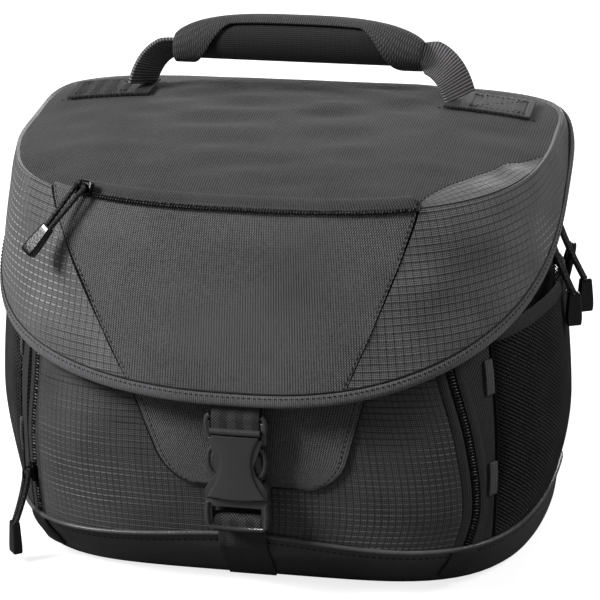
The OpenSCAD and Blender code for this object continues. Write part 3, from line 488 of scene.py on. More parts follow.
def flap_h(th):
    return edge_z(lid_plan(th, 0)[1]) - low_z(th)


def lid(th, t, out=0.0):
    x, y = lid_plan(th, t, out)
    return x, y, edge_z(lid_plan(th, 0)[1]) - t * flap_h(th)


def bind_t(th):
    return 1 - min(0.6, BIND_W / flap_h(th))


def ripple(u, v, size, seed):
    """Smooth noise from -1 to 1, with its waves this many units apart."""
    return noise.noise(Vector((u / size, v / size, seed)))


print("lid hinge at", round(HINGE_Z, 1), "mm, flap", round(flap_h(-90)), "mm long in front")


# %% [markdown]
# ## Making pieces
# A sheet starts as a grid, whose points are moved onto the form; Solidify gives it thickness and
# Bevel softens its edges. A rod is a curve with a round bevel. What repeats, such as a stitch, is
# modelled once and copied along a line.

# %% Selecting and modifying
# Edges sharper than this many degrees are rounded; points closer than these many metres become one.
SHARP, WELD_M, NODE_WELD_M = 50, 2e-5, 1e-5


def only(obj):
    bpy.ops.object.select_all(action="DESELECT")
    obj.select_set(True)
    bpy.context.view_layer.objects.active = obj
    return obj


def modify(obj, kind, **settings):
    """Adds a modifier and applies it."""
    only(obj)
    made = obj.modifiers.new(kind.title(), kind)
    for key, value in settings.items():
        setattr(made, key, value)
    bpy.ops.object.modifier_apply(modifier=made.name)
    return obj


def edit(obj, *steps):
    """Runs edit-mode operators on all of a piece."""
    only(obj)
    bpy.ops.object.mode_set(mode="EDIT")
    bpy.ops.mesh.select_all(action="SELECT")
    for step, settings in steps:
        step(**settings)
    bpy.ops.object.mode_set(mode="OBJECT")
    return obj


def smooth(obj, angle=45):
    only(obj)
    bpy.ops.object.shade_smooth_by_angle(angle=radians(angle))
    return obj


def join(pieces, name):
    """One object made of several."""
    only(pieces[0])
    for piece in pieces:
        piece.select_set(True)
    bpy.ops.object.join()
    pieces[0].name = name
    return pieces[0]


def rounded(obj, width, segments=2, angle=SHARP):
    """Bevels a piece's sharp edges by this many millimetres."""
    return modify(obj, "BEVEL", width=width / 1000, segments=segments, limit_method="ANGLE",
                  angle_limit=radians(angle))


def run_of(points):
    """The length along a line, at each of its points."""
    return np.concatenate([[0], np.cumsum(np.linalg.norm(np.diff(points, axis=0), axis=1))])


def mirrored(form, sign):
    """A form of the right side, or the same on the left with its outside still outside."""
    def at(u, v):
        x, y, z = form(u if sign > 0 else 1 - u, v)
        return sign * x, y, z

    return at


# %% Sheets
def sheet(name, place, nu, nv, thick=0.0, uv=None, joined=False, edge=0.0):
    """A grid laid on a form: place(u, v) gives millimetres, uv(u, v) the cloth's own millimetres."""
    bpy.ops.object.select_all(action="DESELECT")
    bpy.ops.mesh.primitive_grid_add(x_subdivisions=nu, y_subdivisions=nv, size=1)
    obj = bpy.context.object
    obj.name = obj.data.name = name
    co = np.empty(len(obj.data.vertices) * 3)
    obj.data.vertices.foreach_get("co", co)
    share = co.reshape(-1, 3)[:, :2] + 0.5
    points = np.array([place(u, v) for u, v in share], float)
    obj.data.vertices.foreach_set("co", (points / 1000).ravel())
    if uv is None:
        middles = [[place(i / 20, 0.5) for i in range(21)], [place(0.5, i / 20) for i in range(21)]]
        wide, tall = (run_of(np.array(line))[-1] for line in middles)
        flat = share * (wide, tall)
    else:
        flat = np.array([uv(u, v) for u, v in share])
    corner = np.empty(len(obj.data.loops), int)
    obj.data.loops.foreach_get("vertex_index", corner)
    obj.data.uv_layers.active.data.foreach_set("uv", (flat[corner] / 1000).ravel())
    if joined:
        edit(obj, (bpy.ops.mesh.remove_doubles, {"threshold": WELD_M}))
    if thick:
        modify(obj, "SOLIDIFY", thickness=thick / 1000, offset=-1)
    if edge:
        rounded(obj, edge)
    return smooth(obj)


# %% Rods, stitches and coils
def tube(name, points, radius, rings):
    """A curve with a round bevel through points in millimetres."""
    curve = bpy.data.curves.new(name, "CURVE")
    curve.dimensions = "3D"
    line = curve.splines.new("POLY")
    line.points.add(len(points) - 1)
    for point, p in zip(line.points, points):
        point.co = (p[0] / 1000, p[1] / 1000, p[2] / 1000, 1)
    curve.bevel_depth = radius / 1000
    curve.bevel_resolution = rings
    obj = bpy.data.objects.new(name, curve)
    scene.collection.objects.link(obj)
    return obj


def rod(name, points, radius, closed=False, sides=3):
    """A round bar along points in millimetres, made a mesh."""
    obj = tube(name, points, radius, sides)
    obj.data.splines[0].use_cyclic_u = closed
    obj.data.use_fill_caps = not closed
    only(obj)
    bpy.ops.object.convert(target="MESH")
    return smooth(bpy.context.object, 60)


def spaced(points, step):
    """Points this far apart along a line, with the line's direction there."""
    points = np.array(points, float)
    run = run_of(points)
    n = max(2, int(run[-1] / step))
    at = np.linspace(0, run[-1], n + 1)
    found = np.array([[np.interp(a, run, points[:, k]) for k in range(3)] for a in at])
    way = np.gradient(found, axis=0)
    return found, way / np.linalg.norm(way, axis=1)[:, None]


def stitches(name, lines, pitch=3.4, long=2.3, thick=0.55):
    """Rows of stitches: one rounded stitch is modelled and copied along each line."""
    bpy.ops.object.select_all(action="DESELECT")
    bpy.ops.mesh.primitive_uv_sphere_add(segments=6, ring_count=5, radius=0.5)
    one = bpy.context.object
    base = np.array([v.co for v in one.data.vertices]) * (thick, thick, long)
    faces = [tuple(p.vertices) for p in one.data.polygons]
    bpy.data.objects.remove(one)
    verts, polys = [], []
    for line in lines:
        found, way = spaced(line, pitch)
        for p, d in zip(found, way):
            turn = np.array(Vector(d).to_track_quat("Z", "Y").to_matrix())
            polys += [tuple(i + len(verts) for i in f) for f in faces]
            verts += list((base @ turn.T + p) / 1000)
    mesh = bpy.data.meshes.new(name)
    mesh.from_pydata(verts, [], polys)
    obj = bpy.data.objects.new(name, mesh)
    scene.collection.objects.link(obj)
    return smooth(obj, 80)


def coil(name, line, lift, half=1.8, pitch=1.7, wire=0.5):
    """A zip's coil: a flattened helix of nylon along a line, lifted off the tape."""
    turn = 6
    found, way = spaced(line, pitch / turn)
    points = []
    for i, (p, d) in enumerate(zip(found, way)):
        out = np.array(lift(i / (len(found) - 1)), float)
        across = np.cross(d, out)
        a = 2 * pi * i / turn
        points.append(p + across * half * cos(a) + out * (0.5 + 0.55 * sin(a)))
    return rod(name, points, wire, sides=1)


# %% Finish
def place_on(obj, body, slot, material, *nodes):
    """Gives a piece its finish and its body, and hides the nodes that it stands for. The slot is not used."""
    obj.data.materials.clear()
    obj.data.materials.append(material)
    if body:
        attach(obj, body)
    if nodes:
        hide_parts(*nodes)
    print(obj.name, "on", body or "two bodies")
    return obj


def dress(node, material, angle=0, edge=0.0):
    """A CAD solid that keeps its shape: its finish, smooth shading and rounded edges."""
    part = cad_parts[node]
    part.data.materials.clear()
    part.data.materials.append(material)
    if angle:
        part.modifiers.new("Weld", "WELD").merge_threshold = NODE_WELD_M
    if edge:
        bevel = part.modifiers.new("Bevel", "BEVEL")
        bevel.width, bevel.segments = edge / 1000, 3
        bevel.limit_method, bevel.angle_limit = "ANGLE", radians(25)
    if angle:
        smooth(part, angle)
    print(node, "keeps its shape")


def arc_table(form, a0, a1, n=90):
    """Length along a form between two angles, so that a weave runs evenly round it."""
    th = np.linspace(a0, a1, n)
    run = run_of(np.array([form(a)[:2] for a in th]))
    return lambda a: float(np.interp(a, th, run))


# %% [markdown]
# ## Base
# The base is a tray of coated fabric that wraps under the bag. It could be lofted from rings; one grid
# from the middle of the floor outwards and up the sides does the same in one piece. A thin round piping
# closes it, with one row of stitches below.

# %% Base tray, piping and stitches
def base_at(u, v):
    th = 90 + 360 * u
    flat = 0.3
    if v < flat:
        x, y, z = wall(th, 0)
        k = v / flat
        return x * k, WELL_MID + (y - WELL_MID) * k, 0.0
    k = (v - flat) / (1 - flat)
    z = mix(0, pipe_z(th), k)
    slack = 0.5 * ripple(th, z, 26, 1.0) * sin(pi * k)
    return wall(th, z, slack)


base_shell = sheet("base_shell", base_at, 144, 22, 2.4, joined=True)
place_on(base_shell, "bag_body", "coated", coated, "base_tray")
ROUND = [i * 2.5 for i in range(144)]
base_cord = rod("base_cord", [wall(th, pipe_z(th), 1.3) for th in ROUND], 1.2, closed=True)
place_on(base_cord, "bag_body", "piping", piping_skin, "base_piping")
row = [wall(th, pipe_z(th) - 4.5, 0.1) for th in ROUND + [360.0]]
base_stitch = stitches("base_stitch", [row])
place_on(base_stitch, "bag_body", "webbing", thread)

# %% [markdown]
# ## Front pocket
# Ripstop covers the front between the two upright zips, a little slack between its seams. A simulated
# cloth would crease anew with each change, so the slack is smooth noise, held at the four edges.

# %% Pocket face
left_a0, left_a1 = ZIP_A0 + LEFT_TURN, ZIP_A1 + LEFT_TURN
ZIP_ARCS = (("right", ZIP_A0, ZIP_A1), ("left", -180 - left_a1, -180 - left_a0))
front_run = arc_table(lambda a: wall(a, 90), -180, 0)
# How many degrees the right zip swings outwards, by height.
BOW_KNOTS = ((20, 3.0), (46, 5.0), (84, 3.4), (130, 0.6), (166, 0.0), (230, 0.0))


def strip(a0, a1, top, out=0.0, puff=0.0, bow0=0.0, bow1=0.0):
    """Place and weave of a piece of wall between two angles, from the piping up. A bow of 1 lets an edge
    follow the right zip, which swings outwards low down."""
    def at(u, v):
        th = mix(a0, a1, u)
        z = mix(pipe_z(th) + 0.3, top(th), v)
        th += mix(bow0, bow1, u) * profile(z, BOW_KNOTS)
        return wall(th, z, out + puff * sin(pi * u) * sin(pi * min(1, v * 1.1)))

    def cloth(u, v):
        th = mix(a0, a1, u)
        return front_run(th) if th <= 0 else 400 + th * 2.4, mix(pipe_z(th), top(th), v)

    return at, cloth


at, cloth = strip(-180 - left_a0 + 0.2, ZIP_A0 - 0.2, lambda th: POCKET_Z, bow1=1)


def slack_at(u, v):
    """The pocket's face, slack between its seams."""
    x, y, z = at(u, v)
    hold = min(1, 8 * u, 8 * (1 - u), 8 * v, 8 * (1 - v))
    return x, y - 0.8 * hold * (ripple(x + 0.6 * z, 0.35 * x - 0.6 * z, 26, 8.0) - 0.3), z


pocket_face = sheet("pocket_face", slack_at, 90, 60, 2.0, cloth)
place_on(pocket_face, "bag_body", "ripstop", shaded_pocket_ripstop, "front_panel")

# %% [markdown]
# ## Bib and pocket roof
# A twill bib with a round foot is sewn over the pocket's middle, unequal on its two sides as the photo
# shows. It could be cut out of a plane; here it is a grid whose lower rows draw in to the foot, so that it
# lies on the wall everywhere. The roof closes the pocket under the flap.

# %% Bib
# Half widths below and above on each side, and the foot's height.
BIB_LEFT, BIB_RIGHT, BIB_Z = (38.0, 80.0), (50.0, 76.0), 61.0


def bib_at(u, v):
    k = v ** 1.4
    z = mix(BIB_Z, POCKET_Z - 1, k)
    c = k / 0.16
    round_foot = mix(0.66, 1, sqrt(c * (2 - c))) if c < 1 else 1
    side_at = 2 * u - 1
    x = mix(*(BIB_LEFT if side_at < 0 else BIB_RIGHT), k) * round_foot * side_at
    th = -90 + degrees(atan2(x, WIDE_Y + profile(z, FORE_KNOTS))) / (1 - WALL_TAPER * 0.9)
    return wall(th, z, 1.3)


pocket_bib = sheet("pocket_bib", bib_at, 44, 40, 1.0, edge=0.3)
place_on(pocket_bib, "bag_body", "twill", shaded_pocket_twill, "front_patch")
edge_line = [bib_at(0.0, 1 - i / 60) for i in range(61)] + [bib_at(i / 40, 0.0) for i in range(1, 41)]
edge_line += [bib_at(1.0, i / 60) for i in range(1, 61)]
bib_seam = rod("bib_seam", edge_line, 0.45, sides=1)
place_on(bib_seam, "bag_body", "webbing", thread)
rows = [[bib_at(u, 1 - i / 60) for i in range(58)] for u in (0.03, 0.97)]
rows.append([bib_at(mix(0.03, 0.97, i / 40), 0.02) for i in range(41)])
bib_stitch = stitches("bib_stitch", rows, pitch=2.8, long=1.7)
place_on(bib_stitch, "bag_body", "webbing", thread)

# %% Pocket roof
def roof_at(u, v):
    th = mix(-180 - left_a0, ZIP_A0, u)
    x, y, z = wall(th, POCKET_Z, -0.2)
    wx, wy, wz = well(mix(FRONT_A0, FRONT_A1, u), POCKET_Z + 8, 1.8)
    return mix(wx, x, v), mix(wy, y, v), mix(wz, z, v) + 2.6 + 1.5 * sin(pi * v)


pocket_roof = sheet("pocket_roof", lambda u, v: roof_at(u, 1 - v), 40, 8, 2.0)
place_on(pocket_roof, "bag_body", "twill", shaded_pocket_twill, "pocket_top")

# %% [markdown]
# ## Upright zips
# Each zip at a front corner is a tape with a nylon coil between two folded welts. A striped texture could
# stand for the coil, but its turns catch the light, so it is a real helix. The left zip is let in near the
# upper end of its slider's run, because the slider runs straight and the wall does not.

# %% Upright zips
# The run's upper end, the reach of the let-in about it, and its depth for each millimetre the zip lies in.
RUN_END, RUN_REACH, RUN_SINK = 100.0, 36.0, 1.5
# Where a welt's middle lies inside the zip's edge, and half its width, in degrees.
WELT_IN, WELT_HALF = 0.75, 0.85


def zip_top(th):
    return POCKET_Z - 0.5


def let_in(at, mid, deep):
    """The same place, let in about the upper end of the left slider's run."""
    def lower(u, v):
        x, y, z = at(u, v)
        k = deep * cos(pi / 2 * min(1, abs(z - RUN_END) / RUN_REACH)) ** 2
        return x - k * cos(radians(mid)), y - k * sin(radians(mid)), z

    return lower


for name, a0, a1 in ZIP_ARCS:
    bow = 1.0 if name == "right" else 0.0
    low = 0.0 if bow else 0.9
    mid = mix(a0, a1, 0.5)
    at, cloth = strip(a0 + 0.15, a1 - 0.15, zip_top, out=-0.6 - low, bow0=bow, bow1=bow)
    at = let_in(at, mid, low * RUN_SINK)
    tape = sheet("front_tape_" + name, at, 6, 40, 1.6, cloth)
    place_on(tape, "bag_body", "zip_tape", zip_tape, "front_zip")
    line = [at(0.5, mix(0.005, 0.99, i / 60)) for i in range(61)]
    out_way = Vector((cos(radians(mid)), sin(radians(mid)), 0))
    teeth = coil("front_coil_" + name, line, lambda s: out_way)
    place_on(teeth, "bag_body", "zip_tape", coil_nylon)
    for k, edge_a in enumerate((a0 + WELT_IN, a1 - WELT_IN)):
        at, cloth = strip(edge_a - WELT_HALF, edge_a + WELT_HALF, zip_top,
                          0.15 - low, 0.9 - 0.6 * low, bow, bow)
        welt = sheet(f"front_welt_{name}_{k}", let_in(at, mid, low * RUN_SINK), 6, 30, 0.8, cloth)
        place_on(welt, "bag_body", "ripstop", welt_tape)

# %% [markdown]
# ## Gussets, tabs and leather ends
# Behind each zip lies a gusset of herringbone webbing with two small grey loops. A leather end covers the
# zip's foot. All are strips of the wall's form, so they need no fitting.

# %% Gussets

def gusset_top(th, front):
    end = rim_z(wall(GUSSET_A, 200)[1])
    return mix(POCKET_Z + 8, end, max(0, (th - front) / (GUSSET_A - front)))


NET_EDGE = -36.5
for name, sign, a0 in (("right", 1, ZIP_A1), ("left", -1, left_a1)):
    lo, hi = (a0, NET_EDGE) if sign > 0 else (-180 - GUSSET_A, -180 - a0)
    at, cloth = strip(lo + 0.1, hi - 0.1, lambda th: gusset_top(th if sign > 0 else -180 - th, a0),
                      bow0=max(0.0, sign))
    gusset = sheet("gusset_" + name + "_web", at, 12, 40, 2.0, cloth)
    place_on(gusset, "bag_body", "webbing", gusset_web, "gusset_" + name)

# %% Tabs and leather ends
TAB_H, TAB_LOWS = 18, (52, 106)
tabs = []
for sign, last in ((1, NET_EDGE), (-1, GUSSET_A)):
    for z0 in TAB_LOWS:
        def tab_at(u, v):
            th = mix(last - 1.6, last + 0.2, u)
            return wall(th, z0 + TAB_H * v, 1.7 + 0.5 * sin(pi * v))
        tabs.append(sheet("gusset_tab", mirrored(tab_at, sign), 4, 12, 1.4, edge=0.3))
place_on(join(tabs, "gusset_loops"), "bag_body", "grey_webbing", grey_tape, "gusset_tabs")

END_LOW, END_HIGH, RIGHT_END_TURN = 7, 27, 3.2
ends = []
for name, a0, a1 in ZIP_ARCS:
    def end_at(u, v):
        th = mix(a0, a1, u) + (RIGHT_END_TURN if name == "right" else 0.0)
        puff = sin(pi * u) ** 0.7 * sin(pi * v) ** 0.5
        return wall(th, mix(END_LOW, END_HIGH, v), 2.0 + 2.0 * puff)
    ends.append(sheet("zip_end_" + name, end_at, 10, 12, 1.5, edge=0.4))
place_on(join(ends, "zip_end_leather"), "bag_body", "coated", leather_tab, "zip_end_tab")

# %% [markdown]
# ## Sides and back
# Black cloth covers the sides and charcoal twill the back, with a stitched frame that quilts it. They are
# strips of the wall from the piping to the rim, and the back is a little uneven, as padded cloth is.

# %% Side panels
def wall_rim(th):
    return rim_z(wall(th, 206)[1])


for name, a0, a1 in (("right", NET_EDGE, CORNER_A), ("left", -180 - CORNER_A, -180 - GUSSET_A)):
    at, _ = strip(a0 + 0.1, a1 - 0.1, wall_rim)
    side_skin = sheet("side_skin_" + name, at, 44, 40, 2.2)
    place_on(side_skin, "bag_body", "side_fabric", side_cloth, "side_panel_" + name)

# %% Back panel
# The stitched frame, as shares of the panel's width and height.
QUILT_U, QUILT_V = (0.14, 0.86), (0.06, 0.93)
at, _ = strip(CORNER_A + 0.1, 180 - CORNER_A - 0.1, wall_rim)


def back_at(u, v):
    x, y, z = at(u, v)
    return x, y + 0.35 * ripple(x, z, 45, 4.0), z


back_skin = sheet("back_skin", back_at, 84, 44, 2.3)
place_on(back_skin, "bag_body", "twill", twill, "back_panel")
rows = [[at(mix(*QUILT_U, i / 60), v) for i in range(61)] for v in QUILT_V]
rows += [[at(u, mix(*QUILT_V, i / 40)) for i in range(41)] for u in QUILT_U]
back_stitch = stitches("back_stitch", rows)
place_on(back_stitch, "bag_body", "webbing", thread)

# %% [markdown]
# ## Net pockets
# Each side has a net pocket under an elastic hem. A cloth with holes in its texture would be lighter, but
# its yarn would have no thickness at the edge. So a grid is turned into diamonds of yarn by the Wireframe
# modifier, and its holes are real.

# %% Forms of the net pockets
NET_A1, NET_Z0, NET_BULGE, MOUTH, HEM_H, YARN = 2.0, 27.8, 13.0, 142.0, 8, 0.8


def net_form(u, v, z, out, a0):
    full = sin(pi * v) ** 0.8 if v < 0.5 else 1 - 0.05 * (2 * v - 1) ** 2
    return wall(mix(a0, NET_A1, u), z, 0.15 + NET_BULGE * max(0.0, sin(pi * u)) ** 0.6 * full + out)


def mouth(u):
    return MOUTH - 10 * (1 - u) ** 2


def open_net(net):
    """Pokes every face, takes the old edges out and turns the diagonals into yarn."""
    first = len(net.data.vertices)
    edit(net, (bpy.ops.mesh.poke, {}), (bpy.ops.mesh.select_mode, {"type": "EDGE"}),
         (bpy.ops.mesh.select_all, {"action": "DESELECT"}))
    shared = {}
    for face in net.data.polygons:
        for key in face.edge_keys:
            shared[key] = shared.get(key, 0) + 1
    for e in net.data.edges:
        e.select = max(e.vertices) < first and shared[tuple(sorted(e.vertices))] == 2
    bpy.ops.object.mode_set(mode="EDIT")
    bpy.ops.mesh.dissolve_edges(use_verts=False)
    bpy.ops.object.mode_set(mode="OBJECT")
    return modify(net, "WIREFRAME", thickness=YARN / 1000, use_even_offset=False, use_boundary=True)


# %% Net pockets and hems
for name, sign, net_a0 in (("right", 1, NET_EDGE + 0.5), ("left", -1, GUSSET_A + 1)):
    def net_at(u, v):
        return net_form(u, v, mix(NET_Z0 + 0.5, mouth(u), v), 0.6, net_a0)

    def hem_at(u, v):
        fold = 1.5 + 0.3 * sin(pi * v) + 0.25 * ripple(u * 90, v * 8, 6, 7)
        return net_form(u, 1.0, mouth(u) + 0.2 + HEM_H * v, fold, net_a0)

    net = open_net(sheet("net_" + name, mirrored(net_at, sign), 42, 50))
    place_on(net, "bag_body", "net", net_yarn, "side_pocket_" + name)
    hem = sheet("net_hem_" + name, mirrored(hem_at, sign), 40, 6, 1.6, edge=0.4)
    place_on(hem, "bag_body", "grey_webbing", welt_tape, *(["pocket_hems"] if sign > 0 else []))

# %% [markdown]
# ## Ring loops
# A webbing loop is sewn to each side behind the net pocket and holds a strap ring. It is swept along a
# drawn line round the ring's bar: a simulated loop would not stay on the bar as the ring turns.

# %% The wall under the loops
def solid_wall(th, z, out=0.0):
    """The wall as the solids have it, straight between its levels."""
    half, fore = (float(np.interp(z, *zip(*knots))) for knots in (HALF_KNOTS, FORE_KNOTS))
    x, y = soft(th, half, -fore, BACK, WIDE_Y, WALL_N, out, WALL_TAPER)
    return Vector((x, y, z))


def heading(th, z):
    """The way the solid wall faces there, as an angle in plan."""
    d = solid_wall(th + 1, z) - solid_wall(th - 1, z)
    return atan2(-d.x, d.y)


# %% Ring loops
# The ring's place, its bar's distance from the wall, and the loop's radius round the bar.
RING_Y, RING_Z, RING_BAR, LOOP_R = 66, 126.0, 4.55, 2.5 + 0.8
RING_A = degrees(atan2(RING_Y - WIDE_Y, BODY_HALF))
lean_d = solid_wall(RING_A, RING_Z + 5) - solid_wall(RING_A, RING_Z - 5)
lean = atan2(hypot(lean_d.x, lean_d.y), lean_d.z)
ring_frame = Matrix.Translation(solid_wall(RING_A, RING_Z)) @ Matrix.Rotation(heading(RING_A, RING_Z), 4, "Z")
ring_frame @= Matrix.Rotation(-lean, 4, "Y")
loop_line = [(RING_BAR - LOOP_R, -30), (RING_BAR - LOOP_R, -15)]
loop_line += [(RING_BAR - LOOP_R * cos(a * pi / 12), LOOP_R * sin(a * pi / 12)) for a in range(13)]
loop_line += [(RING_BAR + LOOP_R, -7), (RING_BAR + LOOP_R - 1.5, -10.5)]
loop_line += [(RING_BAR - 1.2, -13), (RING_BAR - 1.65, -29)]


def loop_at(u, v):
    s = v * (len(loop_line) - 1)
    i = min(int(s), len(loop_line) - 2)
    x, z = (mix(loop_line[i][k], loop_line[i + 1][k], s - i) for k in (0, 1))
    return ring_frame @ Vector((x, (u - 0.5) * WEB_W, z))


loops = [sheet("ring_loop", mirrored(loop_at, sign), 6, 48) for sign in (1, -1)]
for loop in loops:
    modify(loop, "SOLIDIFY", thickness=0.0015, offset=0)
place_on(smooth(join(loops, "ring_loops")), "bag_body", "grey_webbing", grey_tape, "ring_webbing")

# %% [markdown]
# ## Main zip
# Under the flap the main zip runs along both sides and the front wall. Its tape is a band of the wall's
# form; only the sides get a coil, since the flap covers the front.

# %% Main zip
# How far below the rim the tape and its coil lie, and the tape's width.
BAND_DROP, COIL_DROP, BAND_H = 4, 13, 18
BAND_ENDS = GUSSET_A + 1, CORNER_A - 4


def band_at(u, v):
    th = mix(*BAND_ENDS, u)
    return wall(th, wall_rim(th) - BAND_DROP - BAND_H * (1 - v), 1.7)


def front_band_at(u, v):
    x, y, _ = well(mix(FRONT_A0, FRONT_A1, u), 0, 3.0)
    return x, y, rim_z(y) - BAND_DROP - BAND_H * (1 - v)


bands = [sheet("main_band", mirrored(band_at, sign), 40, 6, 1.1) for sign in (1, -1)]
bands.append(sheet("main_band", front_band_at, 60, 6, 1.1))
place_on(join(bands, "main_zip_band"), "bag_body", "zip_tape", zip_tape, "main_zip")
for sign, name in ((1, "right"), (-1, "left")):
    line = []
    for i in range(41):
        th = mix(*BAND_ENDS, i / 40)
        x, y, z = wall(th, wall_rim(th) - COIL_DROP, 1.6)
        line.append((sign * x, y, z))
    teeth = coil("main_coil_" + name, line, lambda s: (sign, 0, 0))
    place_on(teeth, "bag_body", "zip_tape", coil_nylon)

# %% [markdown]
# ## Lid
# The lid is a foam pad under twill. It is drawn as a closed pillow, round its middle, and a short cloth
# simulation blows it up a little from inside while its rim and underside are held, which gives the soft
# crown of sewn foam. A plain bevelled plate would look hard there.

# %% Swelling by cloth simulation
def swell(obj, held, pressure, cap_mm, steps=14):
    """Blows a closed piece up from inside, with some of its points held, and caps how far it moves."""
    only(obj)
    group = obj.vertex_groups.new(name="held")
    group.add([int(i) for i in np.flatnonzero(held)], 1.0, "REPLACE")
    made = obj.modifiers.new("Cloth", "CLOTH")
    made.settings.quality = 5
    made.settings.mass = 0.3
    made.settings.use_pressure = True
    made.settings.uniform_pressure_force = pressure
    made.settings.vertex_group_mass = "held"
    made.settings.effector_weights.gravity = 0
    made.point_cache.frame_end = steps
    for step in range(1, steps + 1):
        scene.frame_set(step)
    moved = obj.evaluated_get(bpy.context.evaluated_depsgraph_get()).data
    start, end = np.empty(len(obj.data.vertices) * 3), np.empty(len(obj.data.vertices) * 3)
    obj.data.vertices.foreach_get("co", start)
    moved.vertices.foreach_get("co", end)
    shift = (end - start).reshape(-1, 3)
    far = np.linalg.norm(shift, axis=1)
    shift *= np.minimum(1, cap_mm / 1000 / np.maximum(far, 1e-9))[:, None]
    obj.modifiers.remove(made)
    obj.vertex_groups.remove(group)
    obj.data.vertices.foreach_set("co", start + shift.ravel())
    obj.data.update()
    scene.frame_set(1)
    print(obj.name, "swelled by up to", round(float(far.max()) * 1000, 1), "mm, capped at", cap_mm)
    return obj


# %% Lid pad
PAD_INSET, PAD_SINK, PAD_T, ROLL_DROP = 0.3, 1.2, 7.6, 1.2
# Shares of the grid that make the underside, and the underside with the rolled edge.
PAD_UNDER, PAD_ROLL, TUCK = 0.36, 0.46, 0.996
# The folds fade out towards the handle's bands, which hold the cloth flat.
HELD_X, HELD_Y, HELD_FADE = 74, 44, 14


def pad_at(u, v):
    x, y = lid_plan(360 * u + 90, 0, -PAD_INSET)
    k = 1.0
    if v < PAD_UNDER:
        k = (v / PAD_UNDER) ** 0.8
    elif v >= PAD_ROLL:
        k = min(1, 1 - (v - PAD_ROLL) / (1 - PAD_ROLL)) ** 0.75
    px, py = x * k, LID_MID + (y - LID_MID) * k
    ux, uy = px * TUCK, LID_MID + (py - LID_MID) * TUCK
    top = top_z(px, py) - PAD_SINK
    if v < PAD_UNDER:
        return ux, uy, top - PAD_T
    if v < PAD_ROLL:
        s = (v - PAD_UNDER) / (PAD_ROLL - PAD_UNDER)
        return mix(ux, px, s), mix(uy, py, s), mix(top - PAD_T, top - ROLL_DROP, s)
    roll_off = ROLL_DROP * max(0.0, (k - 0.93) / 0.07) ** 2.2
    fold = 1.7 * ripple(px + 0.3 * py, py * 2.2, 36, 2.0)
    fold += 1.3 * ripple(0.5 * px - 1.6 * py, 0.5 * py, 30, 9.0)
    near_band = min(1.0, hypot(max(0, HELD_X - abs(px)), max(0, HELD_Y - py)) / HELD_FADE)
    fold *= (1 - k ** 6) * near_band
    return px, py, top - roll_off + fold


lid_pad = sheet("lid_pad", pad_at, 150, 72, 0, lambda u, v: pad_at(u, v)[:2], joined=True)
z_top = np.array([top_z(v.co.x * 1000, v.co.y * 1000) for v in lid_pad.data.vertices])
is_low = np.array([v.co.z * 1000 for v in lid_pad.data.vertices]) < z_top - 3.2
swell(lid_pad, is_low, 0.6, 2.5)
place_on(smooth(lid_pad, 60), "lid", "twill", twill, "lid_top")

# %% Lid lining
def under_at(u, v):
    x, y = lid_plan(360 * u + 90, 0, -2.9)
    k = max(v, 0.001)
    px, py = x * k, LID_MID + (y - LID_MID) * k
    return px, py, top_z(px, py) - 9.1


lid_under = sheet("lid_under", under_at, 90, 16, 0, lambda u, v: under_at(u, v)[:2], joined=True)
modify(lid_under, "SOLIDIFY", thickness=0.001, offset=1)
place_on(smooth(lid_under), "lid", "lining", lining_cloth, "lid_lining")

# %% [markdown]
# ## Flap
# The flap hangs from the lid's edge: a twill middle and two ripstop wings, sewn along slanted seams. Each
# is a grid between two seams, creased by smooth noise that dies out at the edges. Narrow tapes back the
# seams, so that no light comes through them when the lid stands open.

# %% Form of the flap
flap_run = arc_table(lambda a: lid(a, 0.5), -220, 140)


def seam_right(t):
    return mix(SEAM_TOP, SEAM_LOW, t)


def seam_left(t):
    return -180 - mix(LEFT_SEAM_TOP, SEAM_LOW, t)


def hang(edge0, edge1, crease=0.0, seed=0.0, low=bind_t, drop=0.0, sink=0.0):
    """Place and weave of a part of the flap between two seams, from its lower edge up to the lid."""
    def at(u, v):
        t0 = (1 - v) ** 1.3
        th = mix(edge0(t0), edge1(t0), u)
        t = mix(min(0.3, drop / flap_h(th)), low(th), t0)
        a, b = flap_run(th), t * flap_h(th)
        wave = ripple(a, b, 30, seed) + 0.9 * ripple(0.5 * a + 0.3 * b, 0.4 * a - 1.1 * b, 22, seed + 4)
        return lid(th, t, crease * wave * sin(pi * min(1, t * 1.05)) ** 0.5 - sink)

    def cloth(u, v):
        t0 = (1 - v) ** 1.3
        th = mix(edge0(t0), edge1(t0), u)
        return flap_run(th), -low(th) * t0 * flap_h(th) * 1.05 - edge_z(0)

    return at, cloth


# %% Flap middle, wings and seam tapes
# Half the gap at a seam and half the tape behind it, in degrees; a panel's thickness.
SEAM_GAP, SEAM_TAPE, PANEL_T = 0.12, 1.6, 2.8
PANELS = (
    ("flap_face", lambda t: seam_left(t) + SEAM_GAP, lambda t: seam_right(t) - SEAM_GAP,
     0.9, 3.0, 0.0, 44, "twill", lit_flap_twill, "flap_center"),
    ("wing_right", lambda t: seam_right(t) + SEAM_GAP, lambda t: WING_END - SEAM_GAP,
     1.0, 5.0, 1.6, 40, "ripstop", wing_ripstop, "flap_wing_right"),
    ("wing_left", lambda t: -180 - WING_END + SEAM_GAP, lambda t: seam_left(t) - SEAM_GAP,
     1.1, 6.0, 1.6, 40, "ripstop", wing_ripstop, "flap_wing_left"))
for name, edge0, edge1, crease, seed, drop, nv, slot, material, node in PANELS:
    at, cloth = hang(edge0, edge1, crease, seed, drop=drop)
    panel = sheet(name, at, 80, nv, PANEL_T, cloth)
    place_on(panel, "lid", slot, material, node)
